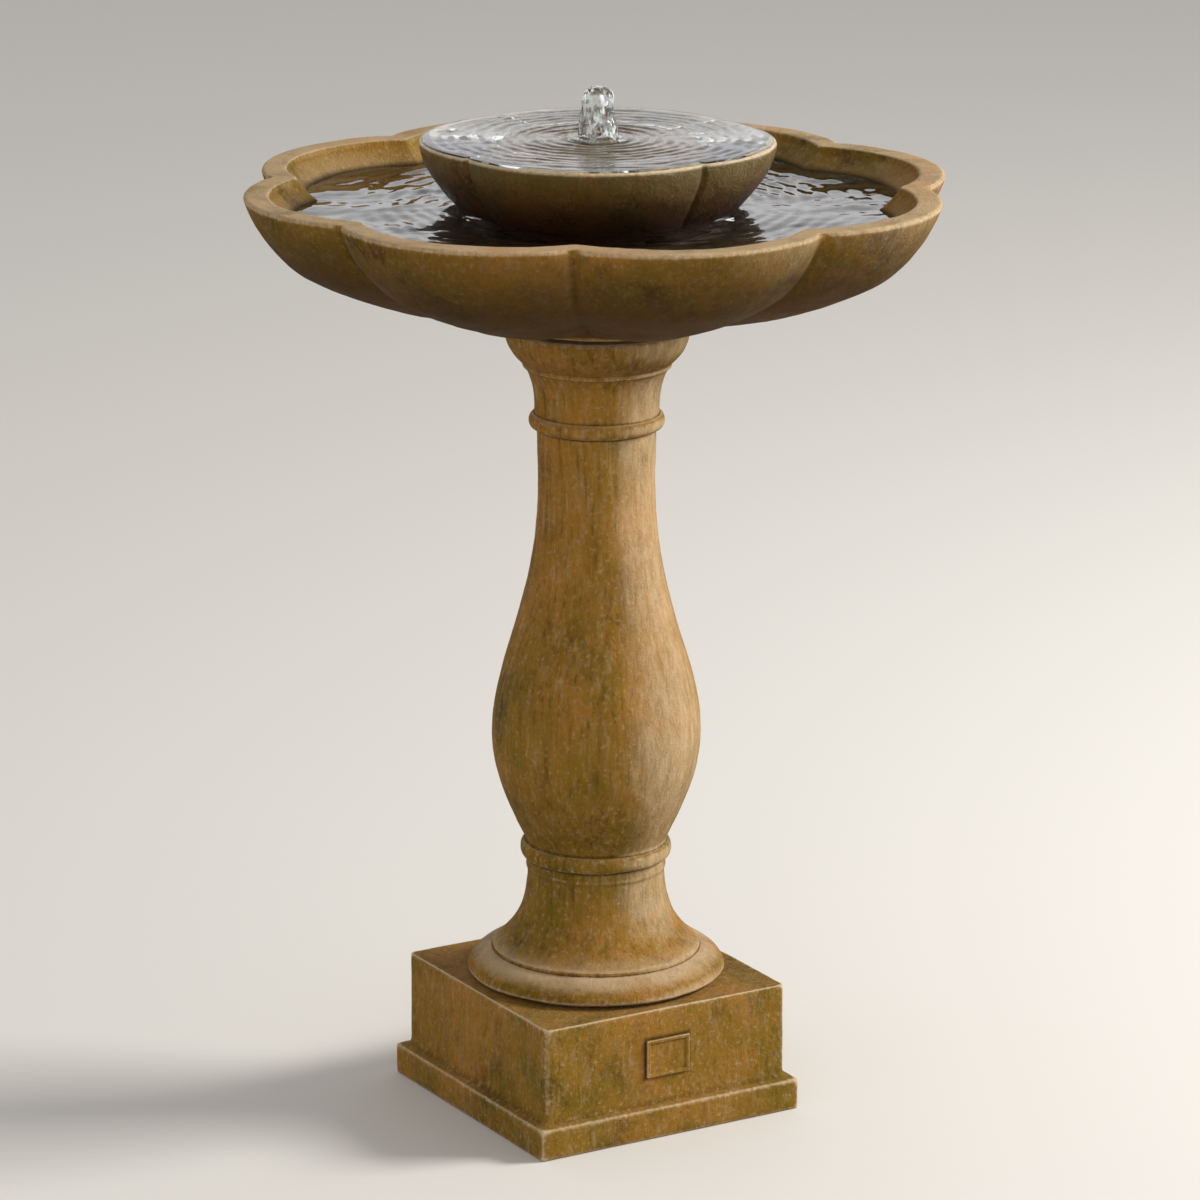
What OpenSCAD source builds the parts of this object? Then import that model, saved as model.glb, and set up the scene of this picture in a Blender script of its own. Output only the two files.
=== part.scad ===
// Pedestal bubbler fountain: a cast-stone baluster that carries a lobed basin, with a small
// lobed bowl in it that hides a recirculating pump and lets water well up through its middle.
// Origin: middle of the underside of the base.  +Z up, -Y is the front, millimetres.

/* [Base] */
// Side of the square slab that meets the ground
slab_w = 260; // [240:1:320]
// Height of the slab
slab_h = 28.6; // [20:0.2:40]
// Side of the square block on the slab
block_w = 240.8; // [232:0.2:300]
// Height of the block's top above the ground
block_top = 114; // [100:1:150]
// Radius of the slab's and the block's upright edges
base_edge_r = 3; // [1:0.5:6]
// Side of the square hollow cast into the underside
core_w = 168; // [100:1:190]
// Stone left over the hollow
core_roof = 32; // [20:1:50]
// Width of the cord channel at the back
channel_w = 30; // [16:1:40]
// Height of the cord channel
channel_h = 18; // [10:1:25]

/* [Blank tablet] */
// Width of the raised tablet on the front
tablet_w = 43; // [30:1:60]
// Height of the tablet
tablet_h = 34; // [24:1:50]
// How far the tablet stands out
tablet_t = 3; // [1:0.5:6]
// Height of the tablet's middle above the ground
tablet_z = 70.5; // [60:0.5:80]
// Width of the tablet's raised border
tablet_border = 3; // [2:0.5:5]

/* [Column] */
// Height of the column
column_h = 575; // [450:1:750]
// Radius of the foot moulding
foot_r = 113.4; // [104:0.2:118]
// Largest radius of the belly
belly_r = 91; // [80:0.5:110]
// Radius of the slim neck above the belly
neck_r = 50.7; // [46:0.1:60]
// Radius of the waist between foot and belly
waist_r = 60.3; // [50:0.1:75]
// Radius of the collar under the belly
collar_r = 64.3; // [62:0.1:80]
// Radius of the ring round the neck
ring_r = 58.3; // [56:0.1:70]
// Radius of the column's top
top_r = 79.8; // [70:0.2:95]
// Radius of the cord bore through base and column
cord_bore_r = 26; // [18:0.5:32]

/* [Setting pads] */
// Thickness of the pads between base and column
low_pad_t = 2; // [1:0.5:5]
// Thickness of the pads between column and basin
high_pad_t = 3; // [1:0.5:5]
// Radius of a setting pad
pad_r = 9; // [6:0.5:12]

/* [Basin] */
// Radius over the basin's lobes
basin_r = 304.6; // [290:0.2:340]
// Height of the basin, foot to rim
basin_h = 120.5; // [110:0.5:135]
// Radius of the arc that draws one lobe
basin_lobe_r = 146.9; // [135:0.1:160]
// Number of lobes
basin_lobes = 8; // [6:1:10]
// Turn of the first lobe from +X
basin_turn = 32.6; // [0:0.1:45]
// Rise of the underside at the creases, for each unit that the outline is drawn in (mm)
crease_lift = 90; // [0:5:120]
// Width of the flat rim
rim_w = 24; // [16:1:32]
// Radius of the rim's rounded edges
rim_round = 4; // [2:0.5:6]
// Radius of the basin's foot
basin_foot_r = 84; // [80:0.5:95]
// Stone between the basin's floor and its foot
floor_t = 41; // [32:1:46]
// Radius of the flat part of the floor
floor_r = 108; // [104:1:125]
// Radius of the cord hole in the floor
drain_r = 20; // [14:0.5:24]

/* [Cord stopper] */
// How far the stopper's flange reaches past the hole
stopper_lip = 6; // [4:0.5:9]
// Thickness of the flange
stopper_lip_t = 4; // [3:0.5:6]
// Length of the stopper's plug
stopper_len = 25; // [15:1:30]
// Radius of the cord hole in the stopper
cord_r = 3.2; // [2.5:0.1:5]

/* [Bubbler bowl] */
// Radius over the bowl's lobes
bubbler_r = 151.7; // [140:0.1:165]
// Height of the bowl
bubbler_h = 113; // [106:0.5:125]
// Radius of the arc that draws one lobe
bubbler_lobe_r = 121.3; // [110:0.1:135]
// Number of lobes
bubbler_lobes = 4; // [3:1:6]
// Turn of the first lobe from +X
bubbler_turn = 53; // [0:0.5:90]
// Radius of the bowl's foot
bubbler_foot_r = 97; // [92:0.5:104]
// Radius of the pump room inside
room_r = 72; // [70:0.5:78]
// Height of the pump room
room_h = 74; // [68:0.5:78]
// Depth of the dish in the top
dish_depth = 11; // [6:0.5:16]
// Width of each inlet arch in the foot
arch_w = 24; // [14:1:30]
// Height of each inlet arch
arch_h = 13; // [10:1:20]
// Number of inlet arches, the first on +X
arches = 4; // [2:1:6]
// Thickness of the rubber pads under the foot
bowl_pad_t = 3; // [2:0.5:5]

/* [Nozzle and riser] */
// Radius of the hole through the bowl's top
riser_hole_r = 12; // [11:0.5:14]
// Outer radius of the riser tube
riser_r = 8.5; // [8:0.1:9.5]
// Wall of the riser tube
riser_wall = 1.95; // [1.4:0.05:2.2]
// Radius of the nozzle's flange
nozzle_flange_r = 17; // [15:0.5:22]
// Radius of the nozzle's mouth
nozzle_bore_r = 5; // [3:0.5:6]
// Height of the nozzle above the dish
nozzle_up = 8; // [5:0.5:9]
// Height of the water dome above the nozzle
jet_h = 48.7; // [20:0.1:60]
// Radius of the water dome
jet_r = 13.5; // [8:0.5:15]

/* [Pump] */
// Height of the pump's feet
pump_foot_h = 6; // [5:0.5:10]
// Length of the motor block
motor_len = 46; // [42:1:52]
// Width of the motor block
motor_w = 44; // [42:1:50]
// Height of the motor block
motor_h = 46; // [44:1:50]
// Wall of the pump's mouldings
pump_wall = 2.8; // [2:0.1:3]
// Outer radius of the impeller chamber
chamber_r = 21; // [20:0.5:21]
// Wall of the impeller chamber
chamber_wall = 3.5; // [2:0.1:4]
// Radius of the rotor well
well_r = 8.2; // [8:0.1:9]
// Wall of the rotor well
well_wall = 1.6; // [1:0.1:2]
// Radius of the rotor magnet
magnet_r = 7.6; // [6.5:0.1:7.6]
// Radius of the ceramic shaft
shaft_r = 1.5; // [1:0.1:2]
// Radius of the impeller
impeller_r = 14; // [11:0.5:15]
// Number of impeller blades
blades = 6; // [4:1:8]
// Wall of the strainer cover
strainer_wall = 2; // [1.6:0.1:2.4]
// How far the strainer cover reaches in front of the outlet
strainer_reach = 42; // [38:1:45]
// Width of the flow slide
flow_w = 16; // [12:1:18]
// Height of the flow slide, and of the window that it covers
flow_h = 16; // [10:1:16]

/* [Fits] */
// Clearance of a shaft that turns in a hole
run_gap = 0.05; // [0.02:0.01:0.1]
// Clearance between pieces that slide past each other
slide_gap = 0.3; // [0.2:0.05:0.5]

/* [Hidden] */
$fn = 96;
eps = 1;              // how far a cutter runs past a face
lobe_steps = 96;      // flats round a lobed casting
curve_steps = 5;      // rings along one curve of a lobed casting

// Heights of the stacked castings
column_z = block_top + low_pad_t;
column_top_z = column_z + column_h;
basin_z = column_top_z + high_pad_t;
rim_z = basin_z + basin_h;
floor_z = basin_z + floor_t;
bowl_z = floor_z + bowl_pad_t;
bowl_top_z = bowl_z + bubbler_h;
dish_z = bowl_top_z - dish_depth;
room_top_z = bowl_z + room_h;

// Heights and places in the pump; its rotor turns about an axis along X
motor_z = floor_z + pump_foot_h;
axis_z = motor_z + motor_h / 2 + 2;
motor_x = 10;
motor_back_x = motor_x + motor_len;
spigot_r = riser_r - riser_wall - 0.05;
chamber_front_x = -(spigot_r + 1.5);
chamber_floor_x = 6;
cover_t = 3;
cover_x = chamber_front_x - cover_t;
well_end_x = motor_back_x - 6;
spigot_top_z = axis_z + chamber_r + 18;
resin_t = 9;
strainer_gap = 2;
strainer_w = 2 * (max(chamber_r, motor_w / 2 - strainer_wall) + 0.5 + strainer_wall);
strainer_low_z = axis_z - chamber_r - 1 - strainer_wall;
strainer_top_z = axis_z + chamber_r + 1 + strainer_wall;
flow_t = 2;

// One point of a cubic Bezier curve, and a run of them without the first
function bez(p, t) = pow(1 - t, 3) * p[0] + 3 * pow(1 - t, 2) * t * p[1]
    + 3 * (1 - t) * t * t * p[2] + pow(t, 3) * p[3];
function curve(p, n) = [for (i = [1:n]) bez(p, i / n)];
function smooth(x) = let (c = min(1, max(0, x))) c * c * (3 - 2 * c);

// Radius, as a share of the lobe's, of an outline made of n equal arcs of radius arc_r
function lobe_share(a, n, full_r, arc_r) =
    let (c = full_r - arc_r, w = 360 / n, d = a - w * round(a / w))
    (c * cos(d) + sqrt(max(0, arc_r * arc_r - pow(c * sin(d), 2)))) / full_r;

// A solid of stacked lobed rings. rings holds [lobe radius, z, arc radius, lobe strength,
// inset, lift]; full_r is the radius over the lobes that the arc radius belongs to.
module lobed_stack(rings, n, turn, full_r) {
    m = lobe_steps;
    count = len(rings);
    points = [for (ring = rings) for (j = [0:m - 1])
        let (a = 360 * j / m,
            share = lobe_share(a, n, full_r - ring[4], ring[2]),
            r = ring[0] * (1 - ring[3] + ring[3] * share))
        [r * cos(a + turn), r * sin(a + turn), ring[1] + ring[5] * (1 - share)]];
    sides = [for (i = [0:count - 2]) for (j = [0:m - 1])
        let (k = (j + 1) % m) [i * m + j, (i + 1) * m + j, (i + 1) * m + k, i * m + k]];
    low = [for (j = [0:m - 1]) j];
    high = [for (j = [0:m - 1]) (count - 1) * m + m - 1 - j];
    polyhedron(points = points, faces = concat([low], sides, [high]), convexity = 6);
}

// An upright square prism with rounded upright edges, centred on the axis
module rounded_prism(w, d, h, r) {
    translate([-w / 2 + r, -d / 2, 0]) cube([w - 2 * r, d, h]);
    translate([-w / 2, -d / 2 + r, 0]) cube([w, d - 2 * r, h]);
    for (x = [-1, 1], y = [-1, 1])
        translate([x * (w / 2 - r), y * (d / 2 - r), 0]) cylinder(r = r, h = h, $fn = 32);
}

// A cylinder along +X from x0 to x1 on the rotor's axis
module along_x(r, x0, x1) {
    translate([x0, 0, axis_z]) rotate([0, 90, 0]) cylinder(r = r, h = x1 - x0);
}

// Three round pads in a ring
module pads(ring_r, r, z, t) {
    for (a = [90, 210, 330]) rotate(a) translate([ring_r, 0, z]) cylinder(r = r, h = t, $fn = 48);
}

module base_plinth() {
    color("darkkhaki") difference() {
        union() {
            rounded_prism(slab_w, slab_w, slab_h, base_edge_r);
            rounded_prism(block_w, block_w, block_top, base_edge_r);
        }
        translate([-core_w / 2, -core_w / 2, -eps]) cube([core_w, core_w, block_top - core_roof + eps]);
        translate([-channel_w / 2, 0, -eps]) cube([channel_w, slab_w, channel_h + eps]);
        cylinder(r = cord_bore_r, h = block_top + eps);
    }
}

module blank_tablet() {
    b = tablet_border;
    color("tan") translate([0, -block_w / 2, tablet_z]) rotate([90, 0, 0]) difference() {
        translate([-tablet_w / 2, -tablet_h / 2, 0]) cube([tablet_w, tablet_h, tablet_t]);
        translate([-tablet_w / 2 + b, -tablet_h / 2 + b, tablet_t / 2])
            cube([tablet_w - 2 * b, tablet_h - 2 * b, tablet_t]);
    }
}

module lower_setting_pads() {
    color("dimgray") pads((foot_r + cord_bore_r) / 2, pad_r, block_top, low_pad_t);
}

// Outline of the column as radius and height over its own foot
function column_outline() =
    let (h = column_h, s = h / 575, lip_r = foot_r - 22.4)
    concat(
        [[cord_bore_r, 0], [foot_r - 1.4, 0], [foot_r, 1.5]],
        curve([[foot_r, 1.5], [foot_r - 2, 6], [foot_r - 14, 14], [lip_r + 2, 20.5]], 6),
        [[lip_r, 20.5], [lip_r, 24.5]],
        curve([[lip_r - 1.5, 24.5], [waist_r + 8, 42], [waist_r + 0.5, 64], [waist_r, 90 * s]], 8),
        [[waist_r, 92 * s], [waist_r + 1.5, 94 * s], [waist_r + 1.5, 97 * s], [waist_r, 99 * s]],
        [[waist_r + 0.4, 103.5 * s]],
        curve([[collar_r - 1, 104 * s], [collar_r + 0.8, 107 * s], [collar_r + 0.8, 115 * s],
            [collar_r - 1.5, 118 * s]], 6),
        [[waist_r + 1.7, 120 * s]],
        curve([[waist_r + 1.7, 121 * s], [belly_r - 15, 150 * s], [belly_r, 179 * s],
            [belly_r, 216 * s]], 10),
        curve([[belly_r, 216 * s], [belly_r, 282 * s], [neck_r, 330 * s], [neck_r, 439 * s]], 14),
        [[neck_r + 0.8, 485 * s], [ring_r - 2.5, 486.5 * s]],
        curve([[ring_r - 2.5, 486.5 * s], [ring_r + 1.2, 489 * s], [ring_r + 1.2, 496 * s],
            [ring_r - 2.5, 498.5 * s]], 6),
        [[neck_r + 3.3, 500 * s]],
        curve([[neck_r + 3.3, 502 * s], [neck_r + 3.3, 520 * s], [neck_r + 6.3, 530 * s],
            [neck_r + 11.3, 539 * s]], 7),
        [[neck_r + 13.7, 539.5 * s], [neck_r + 13.7, 543.5 * s]],
        curve([[top_r - 13.8, 544 * s], [top_r - 6.8, 550 * s], [top_r, 559 * s], [top_r, h - 2]], 7),
        [[top_r - 1, h], [cord_bore_r, h]]);

module pedestal_column() {
    color("peru") translate([0, 0, column_z]) rotate_extrude() polygon(column_outline());
}

module upper_setting_pads() {
    color("dimgray") pads((top_r + cord_bore_r) / 2, pad_r, column_top_z, high_pad_t);
}

// Rings of the basin: [lobe radius, z, arc radius, lobe strength, inset of the outline, lift],
// and how far the underside is drawn up at the creases
function basin_outer(p) =
    let (strength = smooth((p[0] - basin_foot_r - 4) / 40), under = rim_z - rim_round - p[1])
    [p[0], p[1], basin_lobe_r, strength, 0, crease_lift * strength * max(0, min(1, under / 50))];
function basin_inner(p) =
    [p[0], p[1], basin_lobe_r - rim_w, smooth((p[0] - floor_r + 4) / 90), rim_w, 0];

function basin_rings() =
    let (edge_z = rim_z - rim_round, inner_r = basin_r - rim_w, side_z = basin_z + 55)
    concat(
        [[basin_foot_r, basin_z, basin_lobe_r, 0, 0, 0], [basin_foot_r, basin_z + 5, basin_lobe_r, 0, 0, 0]],
        [for (p = curve([[basin_foot_r, basin_z + 5], [basin_foot_r + 48, basin_z + 4],
            [basin_r - 85.6, side_z - 24], [basin_r - 45.6, side_z]], curve_steps)) basin_outer(p)],
        [for (p = curve([[basin_r - 45.6, side_z], [basin_r - 27.6, side_z + 12.5],
            [basin_r - 9.1, edge_z - 27.5], [basin_r, edge_z]], curve_steps)) basin_outer(p)],
        [for (a = [45, 90]) basin_outer([basin_r - rim_round * (1 - cos(a)), edge_z + rim_round * sin(a)])],
        [for (a = [90, 45]) basin_inner([inner_r + rim_round * (1 - cos(a)), edge_z + rim_round * sin(a)])],
        [for (p = curve([[inner_r, edge_z], [inner_r - 30.6, floor_z + 42],
            [floor_r + 72, floor_z + 12], [floor_r, floor_z]], curve_steps + 1)) basin_inner(p)]);

module basin() {
    color("burlywood") difference() {
        lobed_stack(basin_rings(), basin_lobes, basin_turn, basin_r);
        translate([0, 0, basin_z - eps]) cylinder(r = drain_r, h = basin_h);
        translate([0, 0, floor_z - stopper_lip_t]) cylinder(r = drain_r + stopper_lip + slide_gap, h = basin_h);
    }
}

module cord_stopper() {
    color("black") translate([0, 0, floor_z - stopper_lip_t]) difference() {
        union() {
            cylinder(r = drain_r + stopper_lip, h = stopper_lip_t);
            translate([0, 0, -stopper_len]) cylinder(r = drain_r - slide_gap, h = stopper_len);
        }
        translate([drain_r / 2, 0, -stopper_len - eps]) cylinder(r = cord_r, h = stopper_len + stopper_lip_t + 2 * eps);
    }
}

module bowl_pads() {
    color("black") pads((bubbler_foot_r * 0.93 + room_r) / 2, 5, floor_z, bowl_pad_t);
}

function bubbler_outer(p) =
    [p[0], p[1], bubbler_lobe_r, 0.45 + 0.55 * smooth((p[1] - bowl_z - 20) / 60), 0, 0];
function bubbler_inner(p) = [p[0], p[1], bubbler_lobe_r, smooth((p[0] - nozzle_flange_r - 10) / 90), 0, 0];

function bubbler_rings() =
    let (lip = 7, r = bubbler_r, mid_r = r - 29.7, mid_z = bowl_top_z - 54)
    concat(
        [bubbler_outer([bubbler_foot_r, bowl_z])],
        [for (p = curve([[bubbler_foot_r, bowl_z], [bubbler_foot_r + 3, bowl_z + 27],
            [mid_r - 12, mid_z - 12], [mid_r, mid_z]], curve_steps)) bubbler_outer(p)],
        [for (p = curve([[mid_r, mid_z], [r - 11.7, mid_z + 18], [r - 1.2, bowl_top_z - lip - 12],
            [r, bowl_top_z - lip]], curve_steps + 1)) bubbler_outer(p)],
        [for (a = [30, 60, 90]) bubbler_outer([r - lip * (1 - cos(a)), bowl_top_z - lip * (1 - sin(a))])],
        [bubbler_inner([r - lip - 6, bowl_top_z - 0.5])],
        [for (p = curve([[r - lip - 6, bowl_top_z - 0.5], [r - 32, dish_z + 2], [r - 82, dish_z],
            [nozzle_flange_r + 3, dish_z]], curve_steps)) bubbler_inner(p)]);

module bubbler_bowl() {
    color("sienna") difference() {
        lobed_stack(bubbler_rings(), bubbler_lobes, bubbler_turn, bubbler_r);
        translate([0, 0, bowl_z - eps]) cylinder(r = room_r, h = room_h + eps);
        translate([0, 0, bowl_z]) cylinder(r = riser_hole_r, h = bubbler_h + eps);
        for (i = [0:arches - 1]) rotate(360 * i / arches)
            translate([room_r - 10, -arch_w / 2, bowl_z - eps]) cube([bubbler_r, arch_w, arch_h + eps]);
    }
}

module riser_bushing() {
    color("black") translate([0, 0, room_top_z]) difference() {
        cylinder(r = riser_hole_r, h = bushing_h());
        translate([0, 0, -eps]) cylinder(r = riser_r + slide_gap, h = bushing_h() + 2 * eps);
    }
}
function bushing_h() = (dish_z - room_top_z) * 0.55;

module bubbler_nozzle() {
    socket_top = dish_z - 2;
    tip_z = dish_z + nozzle_up;
    barrel_z = room_top_z + bushing_h();
    color("darkgoldenrod") difference() {
        union() {
            translate([0, 0, barrel_z]) cylinder(r = riser_hole_r - slide_gap, h = dish_z - barrel_z);
            translate([0, 0, dish_z]) cylinder(r = nozzle_flange_r, h = 2.5);
            translate([0, 0, dish_z]) cylinder(r = nozzle_bore_r + 3, h = nozzle_up);
        }
        translate([0, 0, barrel_z - eps]) cylinder(r = riser_r + slide_gap, h = socket_top - barrel_z + eps);
        translate([0, 0, barrel_z]) cylinder(r = nozzle_bore_r, h = tip_z - barrel_z + eps);
    }
}

// The standing water dome: a flared foot, a slim shaft and a round head
module water_jet() {
    z0 = dish_z + nozzle_up + slide_gap;
    color("lightcyan") translate([0, 0, z0]) rotate_extrude()
        polygon(concat([[0, 0], [jet_r + 7.5, 0], [jet_r + 7.5, 2]],
            curve([[jet_r + 7.5, 2], [jet_r + 2, 6], [jet_r + 0.5, 12], [jet_r + 0.5, jet_h * 0.45]], 5),
            [for (a = [0:15:90]) [jet_r * cos(a), jet_h - jet_r + jet_r * sin(a)]]));
}

module riser_tube() {
    z0 = spigot_top_z - 14;
    color("whitesmoke") translate([0, 0, z0]) difference() {
        cylinder(r = riser_r, h = dish_z - 2 - slide_gap - z0);
        translate([0, 0, -eps]) cylinder(r = riser_r - riser_wall, h = dish_z - z0);
    }
}

// Motor block, rotor well, impeller chamber and outlet spigot in one moulding
module pump_housing() {
    w = pump_wall;
    color("darkslategray") difference() {
        union() {
            difference() {
                translate([motor_x, -motor_w / 2, motor_z]) cube([motor_len, motor_w, motor_h]);
                translate([motor_x + w, -motor_w / 2 + w, motor_z + w])
                    cube([motor_len, motor_w - 2 * w, motor_h - 2 * w]);
            }
            along_x(well_r + well_wall, chamber_floor_x, well_end_x + well_wall);
            along_x(chamber_r, chamber_front_x, motor_x + w / 2);
            translate([0, 0, axis_z]) cylinder(r = spigot_r, h = spigot_top_z - axis_z);
        }
        along_x(well_r, chamber_floor_x - eps, well_end_x);
        along_x(chamber_r - chamber_wall, chamber_front_x - eps, chamber_floor_x);
        translate([0, 0, axis_z]) cylinder(r = spigot_r - 2, h = spigot_top_z - axis_z + eps);
        for (x = foot_xs(), y = [-1, 1])
            translate([x, y * foot_y(), motor_z - eps]) cylinder(r = 3, h = 1.8 + eps, $fn = 48);
    }
}
function foot_xs() = [motor_x + 9, motor_back_x - 9];
function foot_y() = motor_w / 2 - 7;

core_x0 = motor_x + 9;
core_x1 = well_end_x - 6;
core_gap = 0.3;
yoke_z0 = motor_z + pump_wall + 3;
yoke_z1 = axis_z - well_r - well_wall - 3;

// U-shaped stack of laminations: two poles beside the rotor well and a yoke under it
module stator_core() {
    half = motor_w / 2 - pump_wall - core_gap;
    color("slategray") difference() {
        translate([core_x0, -half, yoke_z0]) cube([core_x1 - core_x0, 2 * half, axis_z + 9 - yoke_z0]);
        along_x(well_r + well_wall + core_gap, core_x0 - eps, core_x1 + eps);
        translate([core_x0 - eps, -7, yoke_z1]) cube([core_x1 - core_x0 + 2 * eps, 14, motor_h]);
        translate([core_x0 - eps, -11, yoke_z1]) cube([core_x1 - core_x0 + 2 * eps, 22, 4]);
    }
}

// Copper winding round the yoke
module winding_coil() {
    t = 2.4;
    g = core_gap;
    z_low = yoke_z0 - g - t;
    color("orangered") difference() {
        translate([core_x0 - g - t, -9, z_low])
            cube([core_x1 - core_x0 + 2 * (g + t), 18, yoke_z1 + g + t - z_low]);
        translate([core_x0 - g, -9 - eps, yoke_z0 - g])
            cube([core_x1 - core_x0 + 2 * g, 18 + 2 * eps, yoke_z1 - yoke_z0 + 2 * g]);
    }
}

gland_y = 9;
gland_z = motor_z + 11;

// Cast resin that closes the motor block's back round the end of the rotor well
module resin_back() {
    w = pump_wall;
    color("black") difference() {
        translate([motor_back_x - resin_t, -motor_w / 2 + w, motor_z + w])
            cube([resin_t, motor_w - 2 * w, motor_h - 2 * w]);
        along_x(well_r + well_wall, motor_back_x - resin_t - eps, well_end_x + well_wall);
        translate([motor_back_x - 4, gland_y, gland_z]) rotate([0, 90, 0]) cylinder(r = 5, h = 10);
    }
}

// Cord entry with a blind hole; the cord itself is not part of the model
module cord_gland() {
    color("black") translate([motor_back_x - 4, gland_y, gland_z]) rotate([0, 90, 0]) difference() {
        rotate_extrude() polygon([[0, 0], [5, 0], [5, 4], [6, 4], [6, 6], [5, 7], [4.6, 12], [0, 12]]);
        translate([0, 0, 6]) cylinder(r = cord_r, h = 10);
    }
}

// Suction cups with a short peg up into the motor block
module suction_feet() {
    color("dimgray") for (x = foot_xs(), y = [-1, 1]) translate([x, y * foot_y(), floor_z])
        rotate_extrude($fn = 48)
            polygon([[0, 2.5], [5.6, 0], [6.4, 0], [3.6, pump_foot_h - 1], [3.6, pump_foot_h],
                [3, pump_foot_h], [3, pump_foot_h + 1.6], [0, pump_foot_h + 1.6]]);
}

// Disc that closes the chamber, with a spoked inlet and a hub for the front bearing
module impeller_cover() {
    inlet_r = 9;
    hub_r = bearing_r() + 1.4;
    spoke_w = 2;
    color("gray") difference() {
        union() {
            difference() {
                union() {
                    along_x(chamber_r, cover_x, chamber_front_x);
                    along_x(chamber_r - chamber_wall - 0.1, cover_x, chamber_front_x + 2);
                }
                along_x(inlet_r, cover_x - eps, chamber_front_x + 3);
            }
            along_x(hub_r, cover_x, chamber_front_x);
            for (a = [90, 210, 330]) translate([cover_x + 0.4, 0, axis_z]) rotate([a, 0, 0])
                translate([0, hub_r - 0.7, -spoke_w / 2])
                    cube([cover_t - 0.8, inlet_r - hub_r + 2, spoke_w]);
        }
        along_x(bearing_r(), cover_x + 0.5, chamber_front_x + eps);
    }
}
function bearing_r() = shaft_r + 1.6;

module front_bearing() {
    color("ivory") difference() {
        along_x(bearing_r(), cover_x + 0.5, chamber_front_x);
        along_x(shaft_r, cover_x, chamber_front_x + eps);
    }
}

module rear_bearing() {
    color("ivory") difference() {
        along_x(well_r, well_end_x - 4, well_end_x);
        along_x(shaft_r, well_end_x - 4 - eps, well_end_x + eps);
    }
}

module rotor_shaft() {
    color("white") along_x(shaft_r, cover_x + 0.5, well_end_x);
}

magnet_x0 = motor_x + 2;
magnet_x1 = well_end_x - 5;

module rotor_magnet() {
    color("darkgray") difference() {
        along_x(magnet_r, magnet_x0, magnet_x1);
        along_x(shaft_r + run_gap, magnet_x0 - eps, magnet_x1 + eps);
    }
}

module impeller() {
    hub_r = shaft_r + 3;
    front_x = chamber_front_x + 3;
    disc_x = chamber_floor_x - 3;
    color("royalblue") difference() {
        union() {
            along_x(hub_r, front_x, magnet_x0);
            along_x(impeller_r, disc_x, disc_x + 2);
            for (i = [0:blades - 1]) translate([0, 0, axis_z]) rotate([360 * i / blades, 0, 0])
                translate([front_x + 1, hub_r - 1, -0.8])
                    cube([disc_x - front_x, impeller_r - hub_r + 0.5, 1.6]);
        }
        along_x(shaft_r + run_gap, front_x - eps, magnet_x0 + eps);
    }
}

// Slotted cover over chamber and foam; it pulls forward off the outlet
module strainer_cover() {
    w = strainer_wall;
    x0 = -strainer_reach;
    x1 = motor_x - slide_gap;
    h = strainer_top_z - strainer_low_z;
    slot_w = 3;
    color("darkslateblue") difference() {
        union() {
            translate([x0, -strainer_w / 2, strainer_low_z]) cube([x1 - x0, strainer_w, h]);
            for (y = [-1, 1]) translate([x0 - flow_t - 0.8, y * (flow_w / 2 + slide_gap + 1) - 1, flow_z()])
                cube([flow_t + 0.8 + eps, 2, 2 * flow_h + 4]);
        }
        translate([x0 + w, -strainer_w / 2 + w, strainer_low_z + w])
            cube([x1 - x0, strainer_w - 2 * w, h - 2 * w]);
        translate([-riser_r - strainer_gap, -riser_r - strainer_gap, axis_z])
            cube([x1 + riser_r + strainer_gap + eps, 2 * (riser_r + strainer_gap), h]);
        for (i = [0:5]) translate([x0 + 6 + 4.5 * i, -strainer_w, axis_z - 14]) cube([slot_w, 2 * strainer_w, 28]);
        for (s = [-1, 1], i = [0:1])
            translate([x0 - eps, s * (15 + 4.5 * i) - slot_w / 2, axis_z - 14]) cube([w + 2 * eps, slot_w, 28]);
        translate([x0 - eps, 1 - flow_w / 4, axis_z + 1 - flow_h / 2])
            cube([w + 2 * eps, flow_w / 2 - 2, flow_h - 2]);
    }
}
// Height of the lower edge of the flow slide when the window is open
function flow_z() = axis_z - 1.5 * flow_h + 0.5;

module filter_foam() {
    gap = slide_gap;
    x0 = -strainer_reach + strainer_wall + gap;
    h = strainer_top_z - strainer_low_z - 2 * strainer_wall - 2 * gap;
    d = strainer_w - 2 * strainer_wall - 2 * gap;
    color("dimgray") translate([x0, -d / 2, strainer_low_z + strainer_wall + gap])
        cube([cover_x - 2 - x0, d, h]);
}

// Gate that covers the front window as it is pushed up
module flow_slide() {
    x1 = -strainer_reach - slide_gap;
    color("lightgray") {
        translate([x1 - flow_t, -flow_w / 2, flow_z()]) cube([flow_t, flow_w, flow_h]);
        translate([x1 - flow_t - 2, -flow_w / 2, flow_z() + 6]) cube([2, flow_w, 2]);
    }
}

base_plinth();
blank_tablet();
lower_setting_pads();
pedestal_column();
upper_setting_pads();
basin();
cord_stopper();
bowl_pads();
bubbler_bowl();
riser_bushing();
bubbler_nozzle();
water_jet();
riser_tube();
pump_housing();
stator_core();
winding_coil();
resin_back();
cord_gland();
suction_feet();
impeller_cover();
front_bearing();
rear_bearing();
rotor_shaft();
rotor_magnet();
impeller();
strainer_cover();
filter_foam();
flow_slide();
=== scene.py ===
"""Looks of the pedestal bubbler fountain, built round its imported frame.

Each sub-assembly is a class that builds its meshes in metres, in the frame's own axes
(+Z up, -Y front, origin in the middle of the base's underside), and dresses them.
"""
import logging
import math
from dataclasses import dataclass, field
from enum import Enum

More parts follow.
